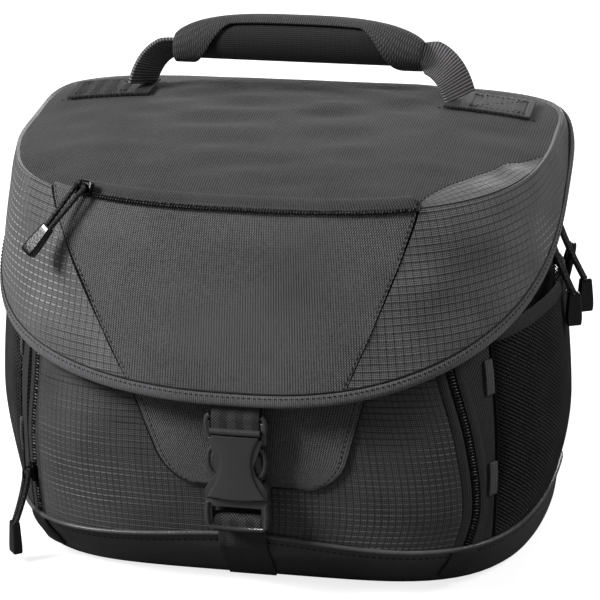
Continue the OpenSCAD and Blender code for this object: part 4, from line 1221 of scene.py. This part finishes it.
for name, seam in (("right", seam_right), ("left", seam_left)):
    at, cloth = hang(lambda t: seam(t) - SEAM_TAPE, lambda t: seam(t) + SEAM_TAPE, drop=3.0, sink=FLAP_T / 2)
    seam_tape = sheet("seam_tape_" + name, at, 6, 44, 0.4, cloth)
    place_on(seam_tape, "lid", "webbing", side_cloth)

# %% [markdown]
# ## Hinge
# The lid has no hinge but the cloth along its rear edge. A strip closes the lid behind, and a fold of cloth
# bridges lid and back. The fold bends as the lid opens; here it stays where it is drawn, on neither body.

# %% Hinge strip and fold
FOLD_X, FOLD_DOWN, FOLD_UP = 82.0, 7.0, 5.0
at, cloth = hang(lambda t: WING_END - 0.8, lambda t: 180 - WING_END + 0.8,
                 low=lambda th: 1.0, drop=1.6, sink=0.4)
hinge_strip = sheet("hinge_strip", at, 70, 8, 2.6, cloth)
place_on(hinge_strip, "lid", "twill", twill, "hinge_band")


def fold_at(u, v):
    x, z = FOLD_X * (2 * u - 1), mix(HINGE_Z - FOLD_DOWN, HINGE_Z + FOLD_UP, v)
    return -x, BACK - 1.3 - 0.9 * (x / FOLD_X) ** 6 - 0.2 * max(0, z - HINGE_Z), z


hinge_fold = sheet("hinge_fold", fold_at, 40, 14, 1.0)
place_on(hinge_fold, None, "twill", twill)
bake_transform(hinge_fold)

# %% [markdown]
# ## Edge binding
# A folded tape binds the flap's lower edge, with one row of stitches and a dark rod where it meets the cloth,
# a painted shadow line. It is a flattened tube along the edge: a strip with thickness would show an open
# fold.

# %% Edge binding
def bind_at(u, v):
    th = mix(-180 - WING_END, WING_END, u)
    a = 2 * pi * v
    t_mid = (bind_t(th) + 1) / 2
    high = flap_h(th) * (1 - bind_t(th)) / 2 - 0.3
    squeeze = 0.75 if sin(a) > 0 else 1.0
    deep = (FLAP_T / 2 + 0.75 * squeeze) * cos(a) * abs(cos(a)) ** -0.35
    x, y, z = lid(th, t_mid, -FLAP_T / 2 - deep)
    return x, y, z + high * sin(a)


edge_binding = sheet("edge_binding", lambda u, v: bind_at(u, v + 0.02), 180, 20, 0,
                     lambda u, v: (flap_run(mix(-180 - WING_END, WING_END, u)), 24 * v), joined=True)
edit(edge_binding, (bpy.ops.mesh.normals_make_consistent, {"inside": False}))
place_on(smooth(edge_binding, 80), "lid", "webbing", binding_tape, "flap_binding")

# %% Stitches of the binding, its painted shadow line and the flap's seams
EDGE_ANGLES = np.linspace(-180 - WING_END + 1, WING_END - 1, 200)
row = [lid(th, bind_t(th) + 1.9 / flap_h(th), 0.72) for th in EDGE_ANGLES]
edge_stitch = stitches("edge_stitch", [row], pitch=2.7, long=1.6, thick=0.65)
place_on(edge_stitch, "lid", "webbing", thread)
# A dark rod along the binding's top edge: a painted shadow line where binding and cloth meet.
row = [lid(th, bind_t(th) - 0.1 / flap_h(th), 0.05) for th in EDGE_ANGLES]
edge_shadow_line = rod("edge_shadow_line", row, 0.5, sides=1)
place_on(edge_shadow_line, "lid", "webbing", thread)
rows = [[lid(seam(t) + beside, t * bind_t(seam(t)), 0.1) for t in np.linspace(0.02, 0.99, 60)]
        for seam, beside in ((seam_right, -0.75), (seam_left, 0.75))]
flap_stitch = stitches("flap_stitch", rows, pitch=2.8, long=1.8)
place_on(flap_stitch, "lid", "webbing", thread)

# %% [markdown]
# ## Lid zip
# A zip runs along the lid's front edge between the seams. Its tape folds over the edge, its coil lies on
# the fold, and a lip of the lid's twill closes over it in the middle of the run, as in the photo.

# %% Lid zip
# Where the tape starts and ends, out from the lid's edge; how far the coil turns with the edge.
TAPE_OUT, TAPE_IN, COIL_TURN = 0.8, -2.6, 42


def tape_at(u, v):
    th = mix(-180 - SEAM_TOP, SEAM_TOP, 1 - u)
    if v < 0.5:
        return lid(th, mix(1.7, 0.6, v * 2) / flap_h(th), 1.0)
    out = mix(TAPE_OUT, TAPE_IN, v * 2 - 1)
    x, y = lid_plan(th, 0, out)
    return x, y, top_z(x, y) - ROLL_DROP * max(0, 1 - abs(out) / 5) + 0.5


def coil_out(s):
    a = radians(mix(-COIL_TURN, COIL_TURN, s))
    return sin(a) * 0.7, -cos(a) * 0.7, 0.7


lid_tape = sheet("lid_tape", lambda u, v: tape_at(1 - u, v), 80, 10, 1.0)
place_on(lid_tape, "lid", "zip_tape", zip_tape, "lid_zip")
line = [lid(mix(-180 - SEAM_TOP, SEAM_TOP, i / 100), 0.012, 1.2) for i in range(101)]
lid_coil = coil("lid_coil", line, coil_out, 1.25, 1.5, wire=0.36)
place_on(lid_coil, "lid", "zip_tape", coil_nylon)


def lip_at(u, v):
    """The lid's folded edge over the coil, which closes over it in the middle of the run."""
    th = mix(-180 - SEAM_TOP, SEAM_TOP, u)
    cover = sin(pi * min(1, max(0, (u - 0.1) / 0.85))) ** 1.4
    end = 0.9 + 2.2 * cover
    out = mix(-7.0, end, v)
    x, y = lid_plan(th, 0, min(out, 0.0) - 0.01)
    rise = 0.9 + 0.9 * sin(pi * min(1, v * 1.1)) - 0.9 * v ** 4
    z = top_z(x, y) - ROLL_DROP * max(0, 1 - abs(min(out, 0)) / 6) ** 1.6 + rise
    x, y = lid_plan(th, 0, out)
    return x, y, z


lid_lip = sheet("lid_lip", lip_at, 90, 14, 0.7, edge=0.2)
place_on(lid_lip, "lid", "twill", twill)

# %% [markdown]
# ## Wing corner
# The right wing's ripstop runs on over the lid's front corner up to a curved seam. The patch is projected
# onto the swelled pad, so that it follows folds that no formula gives.

# %% Wing corner on the lid
CORNER_A0, CORNER_A1, CORNER_NU = -48, -9, 60
# The patch's reach in from the edge, by angle.
CORNER_KNOTS = ((-48, 1.2), (-44, 8), (-40, 12), (-35, 15), (-28, 16), (-20, 14), (-14, 7), (-9, 1.2))


def corner_at(u, v):
    th = mix(CORNER_A0, CORNER_A1, u)
    x, y = lid_plan(th, 0, -mix(1.0, profile(th, CORNER_KNOTS), v))
    return x, y, top_z(x, y) + 9


corner_patch = sheet("corner_patch", corner_at, CORNER_NU, 16, 0,
                     lambda u, v: (flap_run(mix(CORNER_A0, CORNER_A1, u)), 18 * v))
modify(corner_patch, "SHRINKWRAP", target=lid_pad, wrap_method="PROJECT", use_project_z=True,
       use_positive_direction=False, use_negative_direction=True, offset=0.0005)
edge_line = [tuple(v.co * 1000) for v in corner_patch.data.vertices][-CORNER_NU - 1:]
modify(corner_patch, "SOLIDIFY", thickness=0.0007, offset=-1)
place_on(smooth(corner_patch), "lid", "ripstop", wing_ripstop)
row = [(x, y, z + 0.2) for x, y, z in edge_line]
corner_stitch = stitches("corner_stitch", [row], pitch=2.8, long=1.9)
place_on(corner_stitch, "lid", "webbing", thread)

# %% [markdown]
# ## Handle grip
# A tube of foam under knit makes the grip, with a strip of twill sewn over its top. It is a closed grid,
# swelled a little by the cloth simulation with its ends held.

# %% Grip
# The feet's place, the grip's half length, and how much wider than high it is.
HANDLE_X, HANDLE_Y, GRIP_HALF, GRIP_FLAT = 86.0, 58.0, 68.0, 1.12
HANDLE_Z = top_z(HANDLE_X, HANDLE_Y) + 1.6 + 0.15 + 0.6 + WEB_W / 2
GRIP_LOW = HANDLE_Z + 2.5


def grip_rad(s):
    return mix(5.0, 12.0, max(0.0, 1 - abs(s) ** 3) ** 0.6)


def grip_at(u, v):
    s = mix(-1, 1, v)
    r = grip_rad(s) - 0.7
    a = 2 * pi * u
    end = 0.0 if abs(s) > 0.999 else 1.0
    return s * GRIP_HALF, HANDLE_Y + r * GRIP_FLAT * cos(a) * end, GRIP_LOW + grip_rad(s) + r * sin(a) * end


grip_pad = sheet("grip_pad", lambda u, v: grip_at(1 - u, v), 40, 64, 0,
                 lambda u, v: (80 * u, 136 * v), joined=True)
held = np.array([abs(v.co.x) > 0.062 for v in grip_pad.data.vertices])
swell(grip_pad, held, 8.0, 1.2)
place_on(smooth(grip_pad, 70), "handle", "knit", grip_knit, "handle_grip")

# %% Twill over the grip
def cover_at(u, v):
    s = mix(-0.985, 0.985, u)
    late = min(1.0, max(0.0, (abs(s) - 0.5) / 0.42))
    wide = mix(34, 176, late * late * (3 - 2 * late))
    a = radians(90 + mix(wide, -wide, v))
    r = grip_rad(s) + 0.8
    return s * GRIP_HALF, HANDLE_Y + r * GRIP_FLAT * cos(a), GRIP_LOW + grip_rad(s) + r * sin(a)


grip_cover = sheet("grip_cover", lambda u, v: cover_at(u, 1 - v), 90, 24, 1.0, edge=0.3)
place_on(grip_cover, "handle", "twill", twill)
rows = [[cover_at(i / 80, v) for i in range(81)] for v in (0.05, 0.95)]
grip_stitch = stitches("grip_stitch", rows, pitch=3.2, long=1.8)
place_on(grip_stitch, "handle", "webbing", thread)

# %% [markdown]
# ## Handle legs and bands
# Two webbing legs carry the grip. They bend near their feet when the handle folds; the points at the foot and
# at the grip between which they would be blended are worked out, but the legs are left on neither lid nor
# handle. Box-stitched bands hold the feet on the lid.

# %% Legs
FOOT_Z = top_z(HANDLE_X, HANDLE_Y) + 2.4
LEG_LINE = (GRIP_HALF - 7, GRIP_LOW + 7.0), (HANDLE_X - 6, GRIP_LOW + 9), (HANDLE_X + 1, FOOT_Z)


def leg_at(u, v, twist):
    """The right leg from its foot up into the grip's end. Twist turns the webbing about its own line."""
    (x2, z2), (x1, z1), (x0, z0) = LEG_LINE
    x = (1 - v) ** 2 * x0 + 2 * v * (1 - v) * x1 + v * v * x2
    z = (1 - v) ** 2 * z0 + 2 * v * (1 - v) * z1 + v * v * z2
    dx = 2 * (1 - v) * (x1 - x0) + 2 * v * (x2 - x1)
    dz = 2 * (1 - v) * (z1 - z0) + 2 * v * (z2 - z1)
    size = hypot(dx, dz)
    w = (u - 0.5) * (WEB_W - 1) * mix(0.86, 0.46, min(1.0, max(0.0, (v - 0.68) / 0.24)))
    turn = twist * mix(0.75, 1, v)
    return x + w * sin(turn) * dz / size, HANDLE_Y + w * cos(turn), z - w * sin(turn) * dx / size


legs = []
for sign, twist in ((1, 0.9), (-1, -0.75)):
    leg = sheet("leg", mirrored(lambda u, v: leg_at(u, v, twist), sign), 12, 36, 0,
                lambda u, v: (46 * v, WEB_W * u))
    modify(leg, "SOLIDIFY", thickness=0.0022, offset=0)
    legs.append(rounded(leg, 0.5))
legs = smooth(join(legs, "handle_legs"))
place_on(legs, None, "webbing", leg_web, "handle_webbing")
blend_from, blend_to = (0, HANDLE_Y / 1000, (FOOT_Z - 1) / 1000), (0, HANDLE_Y / 1000, (HANDLE_Z + 2) / 1000)
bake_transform(legs)
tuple(blend_from)
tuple(blend_to)


# %% Bands
def on_lid(x, y, up):
    return x, y, top_z(x, y) + up


def foot_at(u, v):
    return on_lid(mix(HANDLE_X - 6, HANDLE_X + 40, u), HANDLE_Y + (v - 0.5) * WEB_W, 1.8)


# The box with its cross, from the foot outwards.
BOX = (8, -9), (36, -9), (36, 9), (8, 9), (8, -9), (36, 9), (8, 9), (36, -9)
bands, rows, seams = [], [], []
for sign in (1, -1):
    bands.append(sheet("band", mirrored(foot_at, sign), 24, 10, 1.5, edge=0.3))
    rows.append([on_lid(sign * (HANDLE_X + bx), HANDLE_Y + by, 1.9) for bx, by in BOX])
    seams.append([on_lid(sign * x, HANDLE_Y - 14, 0.6) for x in range(78, 130, 2)])
place_on(join(bands, "handle_bands"), "lid", "webbing", webbing, "handle_tabs")
band_stitch = stitches("band_stitch", rows + seams, pitch=2.8, long=1.8)
place_on(band_stitch, "lid", "webbing", thread)

# %% [markdown]
# ## Buckle
# The side-release buckle's solids have the right shape, so they stay and get rounded edges and moulded
# acetal. The raised face, the bar with its horns, the prongs' ears and the lower rail are added over them:
# thin swells that catch the light, and too slight to be worth a solid.

# %% Buckle solids
BUCKLE_Y, BAR_Z, PLUG_BAR_Z = -97.3, 95.6, 45.7
for node, edge in (("buckle_socket", 0.9), ("buckle_plug", 0.9), ("prong_left", 0.4), ("prong_right", 0.4)):
    dress(node, acetal, 40, edge)

# %% Raised face, bar and horns
FACE_Y, FACE_LOW, FACE_TOP = BUCKLE_Y - 4.5, 59.2, 92.5
# The face's half width by height.
FACE_KNOTS = ((FACE_LOW, 15.0), (62, 13.4), (67, 10.6), (73, 8.6), (79, 8.1), (85, 9.2), (89, 10.8),
              (FACE_TOP, 12.6))
# One horn, one ear and the rail, as points across and up.
HORN = (12.6, 88.5), (14.2, 92), (15.0, 95.5), (15.2, 99), (14.6, 101.6), (13.2, 102.6)
EAR = (10.2, 85.5), (12.6, 85), (14.2, 82.5), (14.8, 78.5), (14.4, 74.5), (13.2, 71.5), (11.2, 70.2)
RAIL = ((-15.0, 56), (-15.4, 50), (-15.0, 43.6), (-13.6, 42.4), (0, 42.0),
        (13.6, 42.4), (15.0, 43.6), (15.4, 50), (15.0, 56))


def face_at(u, v):
    z = mix(FACE_LOW - 1.0 * sin(pi * u), FACE_TOP, v)
    half = profile(max(z, FACE_LOW), FACE_KNOTS)
    return (2 * u - 1) * half, FACE_Y - 0.7 - 0.6 * sin(pi * u) ** 0.5 - 0.4 * (1 - v) ** 3, z


buckle_face = sheet("buckle_face", face_at, 24, 40, 1.2, edge=0.4)
place_on(buckle_face, "lid", "buckle", acetal)
bar = [rod("buckle_bar", [(x, FACE_Y - 0.3 + 0.02 * abs(x), 94.6) for x in range(-13, 14)], 1.7, sides=4)]
bar += [rod("horn", [(sign * x, FACE_Y + 2.2, z) for x, z in HORN], 1.5, sides=4) for sign in (1, -1)]
place_on(smooth(join(bar, "buckle_bar"), 60), "lid", "buckle", acetal)

# %% Ears and rail
for body, sign in (("prong_r", 1), ("prong_l", -1)):
    ear = rod("prong_ear_" + body[-1], [(sign * x, FACE_Y + 2.6, z) for x, z in EAR], 1.2, sides=4)
    place_on(ear, body, "buckle", acetal)
plug_rail = rod("plug_rail", [(x, FACE_Y + 0.2, z) for x, z in RAIL], 1.15, sides=4)
place_on(plug_rail, "plug", "buckle", acetal)

# %% [markdown]
# ## Closure webbing
# One webbing tab holds the socket under the flap, one turns round the plug's bar, and the strap runs down
# over the base. All lie in the bag's middle plane, so each is a ribbon along a drawn line.

# %% Closure webbing
def ribbon(name, line, wide, thick, nv=40):
    """Webbing across the bag's middle plane, along points (y, z) at the middle of its thickness."""
    run = run_of(np.array(line))
    ys, zs = zip(*line)

    def at(u, v):
        a = v * run[-1]
        return (u - 0.5) * wide, float(np.interp(a, run, ys)), float(np.interp(a, run, zs))

    obj = sheet(name, at, 10, nv, 0, lambda u, v: (wide * u, run[-1] * v))
    modify(obj, "SOLIDIFY", thickness=thick / 1000, offset=0)
    return smooth(rounded(obj, 0.3, angle=60))


HALF_TURN = [i * pi / 10 for i in range(11)]
# The radius round the bar, and the webbing's thickness.
r, WEB_T = 3.1, 1.5
line = [(-95.6, 124), (-96.6, 114), (BUCKLE_Y - r, BAR_Z + 6), (BUCKLE_Y - r, BAR_Z + 1)]
line += [(BUCKLE_Y - r * cos(a), BAR_Z - r * sin(a)) for a in HALF_TURN]
line += [(BUCKLE_Y + r, BAR_Z + 5), (BUCKLE_Y + r + 0.5, BAR_Z + 12), (-92.6, 122)]
buckle_web = ribbon("buckle_web", line, WEB_W, WEB_T, 60)
place_on(buckle_web, "lid", "webbing", webbing, "buckle_tab")
r = 2.95
line = [(BUCKLE_Y - r, PLUG_BAR_Z - 5.8), (BUCKLE_Y - r, PLUG_BAR_Z - 1)]
line += [(BUCKLE_Y - r * cos(a), PLUG_BAR_Z + r * sin(a)) for a in HALF_TURN]
line += [(BUCKLE_Y + r, PLUG_BAR_Z - 1), (BUCKLE_Y + r, PLUG_BAR_Z - 5.8)]
plug_web = ribbon("plug_web", line, WEB_W - 0.4, WEB_T)
place_on(plug_web, "plug", "webbing", webbing, "plug_webbing")
# The strap's height and its distance off the wall.
ROUTE = (3, 1.1), (12, 1.2), (20, 2.2), (27, 4.2), (30, 4.7), (36, 4.7), (42, 3.6), (55, 2.6), (67, 2.6)
strap_run = ribbon("strap_run", [(solid_wall(-90, z).y - off, z) for z, off in ROUTE], WEB_W, WEB_T)
place_on(strap_run, "bag_body", "webbing", webbing, "closure_strap")

# %% [markdown]
# ## Zip pulls
# Four sliders each hold a loop of braided cord with a moulded end. Slider and end are modelled once and
# copied to their places. Each loop is a free cord: it leaves the moulded end, runs through the slider's
# bail and goes back in. A ring of cord would be simpler, but its ends would not be held.

# %% One slider and one moulded end
# The slider's height, the cord's radius, the bail's eye and half the strands' spacing.
SLIDER_H, CORD_R, EYE, STRAND = 2.5, 1.3, 4.6, 2.5
BAIL = ((1.5, 0, -3.0), (5.2, 0, -3.0), (6.4, 0, -2.2), (6.7, 0, 0),
        (6.4, 0, 2.2), (5.2, 0, 3.0), (1.5, 0, 3.0))
TIP_W, TIP_T, TIP_H = 6.4, 4.6, 18.0


def start_cube(name, size, centre):
    """A box of this size in millimetres about a centre."""
    bpy.ops.object.select_all(action="DESELECT")
    bpy.ops.mesh.primitive_cube_add(size=1)
    obj = bpy.context.object
    obj.name = obj.data.name = name
    only(obj)
    bpy.ops.transform.resize(value=tuple(s / 1000 for s in size))
    bpy.ops.transform.translate(value=tuple(c / 1000 for c in centre))
    bpy.ops.object.transform_apply(location=True, rotation=True, scale=True)
    return obj


def slider_piece(name, across, yaw):
    """A slider: two plates with a waist, and a bail turned with the pull."""
    long, wide = (7.0, 10.0) if across else (10.0, 7.0)
    body = start_cube("body", (SLIDER_H, wide, long), (SLIDER_H / 2, 0, 0))
    edit(body, (bpy.ops.mesh.subdivide, {"number_cuts": 3}))
    for v in body.data.vertices:
        y, z = v.co.y * 2000 / wide, v.co.z * 2000 / long
        v.co.y *= 1 - 0.22 * (1 - abs(z)) if not across else 1 - 0.12 * abs(z) ** 2
        v.co.z *= 1 - 0.12 * abs(y) ** 2
    bail = rod("bail", BAIL, 0.5)
    bail.data.transform(Matrix.Rotation(yaw, 4, "X"))
    body = smooth(join([rounded(body, 0.6), bail], name), 50)
    body.data.name = name
    return body


def tip_piece(name):
    """A moulded end: a tapered block with rounded edges and a flat thumb face."""
    obj = start_cube(name, (TIP_T, TIP_W, TIP_H), (0, 0, -TIP_H / 2))
    edit(obj, (bpy.ops.mesh.subdivide, {"number_cuts": 3}))
    for v in obj.data.vertices:
        k = -v.co.z * 1000 / TIP_H
        v.co.y *= mix(0.98, 1.34, min(1, k * 1.3)) if k < 0.85 else 1.18
        v.co.x *= mix(0.9, 1.15, k)
    rounded(obj, 1.4, segments=4, angle=40)
    modify(obj, "SUBSURF", levels=1, render_levels=1)
    return smooth(obj, 60)


# %% Places of the pulls
def turned(where, head_a, tilt=0.0):
    """A pull's own frame: x away from the cloth, z up the zip."""
    return Matrix.Translation(where) @ Matrix.Rotation(head_a, 4, "Z") @ Matrix.Rotation(-tilt, 4, "Y")


# The sliders' places: an angle on the lid, a height on the front zip, depths on the main zip at one height.
LID_PULL_A, LID_OFF, FRONT_PULL_Z, MAIN_PULL_Z = -129, 2.15, 49, 186
lx, ly, lz = lid(LID_PULL_A, 0, LID_OFF)
front_a = -180 - (left_a0 + left_a1) / 2
main_half = float(np.interp(MAIN_PULL_Z, *zip(*HALF_KNOTS)))
# Name, frame, zip runs across, turn of the pull, length, lean off the cloth, bodies, nodes.
places = [("lid", turned((lx, ly, lz + LID_OFF), radians(-114), radians(29)), True, radians(-28), 28.0, 0.0,
           ("lid_slider", "lid_pull"), ("lid_zip_slider", "lid_pull_cord", "lid_pull_tip")),
          ("front", turned(solid_wall(front_a, FRONT_PULL_Z, 0.6), heading(front_a, FRONT_PULL_Z)),
           False, 0.0, 27.0, 8.0,
           ("front_slider", "front_pull"), ("front_zip_slider", "front_pull_cord", "front_pull_tip"))]
for name, y, out in (("front", 10, 17.0), ("rear", 32, 18.5)):
    th = degrees(atan2(y - WIDE_Y, main_half))
    spot = turned(solid_wall(th, MAIN_PULL_Z, 2.1), heading(th, MAIN_PULL_Z))
    places.append(("main_" + name, spot, True, 0.0, 46.0, out,
                   ("main_slider_" + name[0], "main_pull_" + name[0]),
                   ("main_slider_" + name, "main_cord_" + name, "main_tip_" + name)))
print("pulls:", len(places))


# %% Sliders, cords and ends
def in_metres(spot):
    return Matrix.Translation(spot.translation / 1000) @ spot.to_3x3().to_4x4()


# The main pulls' ends are turned to show their broad side, as in the photo.
TIP_TURN = radians(-60)
SHARES = (1, 0.9, 0.8, 0.7, 0.6, 0.5, 0.4, 0.3, 0.2, 0.12, 0.05)
for name, spot, across, yaw, long, out, bodies, nodes in places:
    slider = slider_piece(name + "_slider_body", across, yaw)
    slider.data.transform(in_metres(spot))
    place_on(slider, bodies[0], "slider", enamel, nodes[0])
    eye = spot @ Matrix.Translation((EYE, 0, 0)) @ Matrix.Rotation(yaw, 4, "X")
    strand = [(out * s ** 1.4, mix(STRAND, CORD_R + 0.15, s), -long * s) for s in SHARES]
    crown = [(0, STRAND * cos(a * pi / 8), 0.4 * sin(a * pi / 8)) for a in range(9)]
    loop = [eye @ Vector(p) for p in strand + crown + [(x, -y, z) for x, y, z in reversed(strand)]]
    cord = tube(name + "_cord", loop, CORD_R, 4)
    place_on(cord, bodies[1], "cord", cord_braid, nodes[1])
    tip = tip_piece(name + "_end")
    hang_at = eye @ Matrix.Translation((out, 0, -long + 1.2))
    hang_at @= Matrix.Rotation(TIP_TURN if name.startswith("main") else 0.0, 4, "Z")
    tip.data.transform(in_metres(hang_at))
    place_on(tip, bodies[1], "pull_tip", tip_gloss, nodes[2])
    length = sum((b - a).length for a, b in zip(loop, loop[1:])) / 1000
    print(name, "cord", round(length * 1000), "mm")

# %% [markdown]
# ## Inside
# The well is lined with brushed cloth over foam. None of it shows until the lid is open, so it is kept
# plain: one grid for the lining, a taped rim, and foam walls between the lining and the outer cloth.

# %% Lining and rim tape
FLOOR_Z, LINING_T = 11.2, 1.2


def lining_at(u, v):
    th = 90 + 360 * u
    flat = 0.25
    if v < flat:
        x, y, _ = well(th, 0, -7.6)
        k = v / flat
        return x * k, WELL_MID + (y - WELL_MID) * k, FLOOR_Z + LINING_T
    x, y, _ = well(th, 0, -7.4)
    return x, y, mix(FLOOR_Z + LINING_T, rim_z(y) - LINING_T, (v - flat) / (1 - flat))


well_lining = sheet("well_lining", lambda u, v: lining_at(1 - u, v), 120, 40, 0,
                    lambda u, v: (760 * u, 260 * v), joined=True)
modify(well_lining, "SOLIDIFY", thickness=0.001, offset=-1)
place_on(smooth(well_lining), "bag_body", "lining", lining_cloth, "lining")


def rim_at(u, v):
    th, a = 90 + 360 * u, pi * v
    x, y, _ = well(th, 0, -3.6 + 3.9 * cos(a))
    return x, y, rim_z(y) - 0.9 + 0.7 * sin(a) - (2.6 if v in (0, 1) else 0)


rim_tape = sheet("rim_tape", lambda u, v: rim_at(u, 1 - v), 120, 10, 0.5, joined=True)
place_on(rim_tape, "bag_body", "webbing", binding_tape)

# %% Foam walls and floor
FOAM_A0, FOAM_A1 = -152.8, -27.2


def foam_at(u, v, a0, a1):
    th = mix(a0, a1, u)
    x, y, _ = well(th, 0, -0.2)
    return x, y, mix(5.0, rim_z(y) - 1.6, v)


FOAMS = (("padding_front", FOAM_A0, FOAM_A1, ("foam_front",)),
         ("padding_back", -FOAM_A1, -FOAM_A0, ("foam_back",)),
         ("padding_right", -26.8, 26.8, ("foam_sides",)), ("padding_left", 153.2, 206.8, ()))
for name, a0, a1, nodes in FOAMS:
    pad = sheet(name, lambda u, v: foam_at(u, v, a0, a1), 40, 12, 5.6, edge=0.6)
    place_on(pad, "bag_body", "foam", foam_skin, *nodes)


def floor_at(u, v):
    x, y, _ = well(90 + 360 * u, 0, -6.6)
    return x * v, WELL_MID + (y - WELL_MID) * v, FLOOR_Z - 0.4


padding_floor = sheet("padding_floor", floor_at, 90, 14, 0, lambda u, v: floor_at(u, v)[:2], joined=True)
modify(padding_floor, "SOLIDIFY", thickness=0.0052, offset=1)
edit(padding_floor, (bpy.ops.mesh.normals_make_consistent, {"inside": False}))
place_on(smooth(padding_floor), "bag_body", "foam", foam_skin, "base_foam")
dress("base_board", board_grey)


# %% Front wall
def front_wall_at(u, v):
    x, y, _ = well(mix(FOAM_A0, FOAM_A1, u), 0, 1.4)
    return x, y, mix(3.4, rim_z(y), v)


front_skin = sheet("front_skin", front_wall_at, 60, 30, 1.1)
place_on(front_skin, "bag_body", "twill", shaded_pocket_twill, "front_wall")

# %% [markdown]
# ## Dividers and rings
# Two padded dividers stand in the well. Each starts as a box in its solid's place with rounded upper
# corners, is remeshed and swelled by the cloth simulation with its rim held, as sewn foam would be. The
# strap rings keep their solids, and only get enamel and smooth shading.

# %% Dividers
# The radius of the upper corners, the mesh's size and the width of the held rim.
CORNER_R, VOXEL, HELD_RIM = 19.5, 3.2, 5
for name in ("right", "left"):
    low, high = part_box("divider_" + name)
    size = [(h - l) * 1000 for l, h in zip(low, high)]
    mid = [(h + l) * 500 for l, h in zip(low, high)]
    pad = start_cube("divider_pad_" + name, (size[0] - 1.6, size[1] - 1.5, size[2] - 0.6), mid)
    only(pad)
    bpy.ops.object.mode_set(mode="EDIT")
    bpy.ops.mesh.select_mode(type="EDGE")
    bpy.ops.mesh.select_all(action="DESELECT")
    bpy.ops.object.mode_set(mode="OBJECT")
    for e in pad.data.edges:
        a, b = (pad.data.vertices[i].co for i in e.vertices)
        e.select = min(a.z, b.z) > mid[2] / 1000 and abs(a.x - b.x) > 0.001
    bpy.ops.object.mode_set(mode="EDIT")
    bpy.ops.mesh.bevel(offset=CORNER_R / 1000, segments=8, affect="EDGES")
    bpy.ops.object.mode_set(mode="OBJECT")
    rounded(pad, 1.5, segments=3, angle=60)
    modify(pad, "REMESH", mode="VOXEL", voxel_size=VOXEL / 1000)
    rim = np.array([min(abs(v.co.y * 1000 - mid[1] + s * size[1] / 2) for s in (-1, 1)) < HELD_RIM or
                    abs(v.co.z * 1000 - mid[2]) > size[2] / 2 - HELD_RIM for v in pad.data.vertices])
    swell(pad, rim, 1.2, 0.7)
    place_on(smooth(pad, 80), "divider_" + name[0], "lining", velour, "divider_" + name)

# %% Rings
for node in ("strap_ring_left", "strap_ring_right"):
    dress(node, enamel, 50)
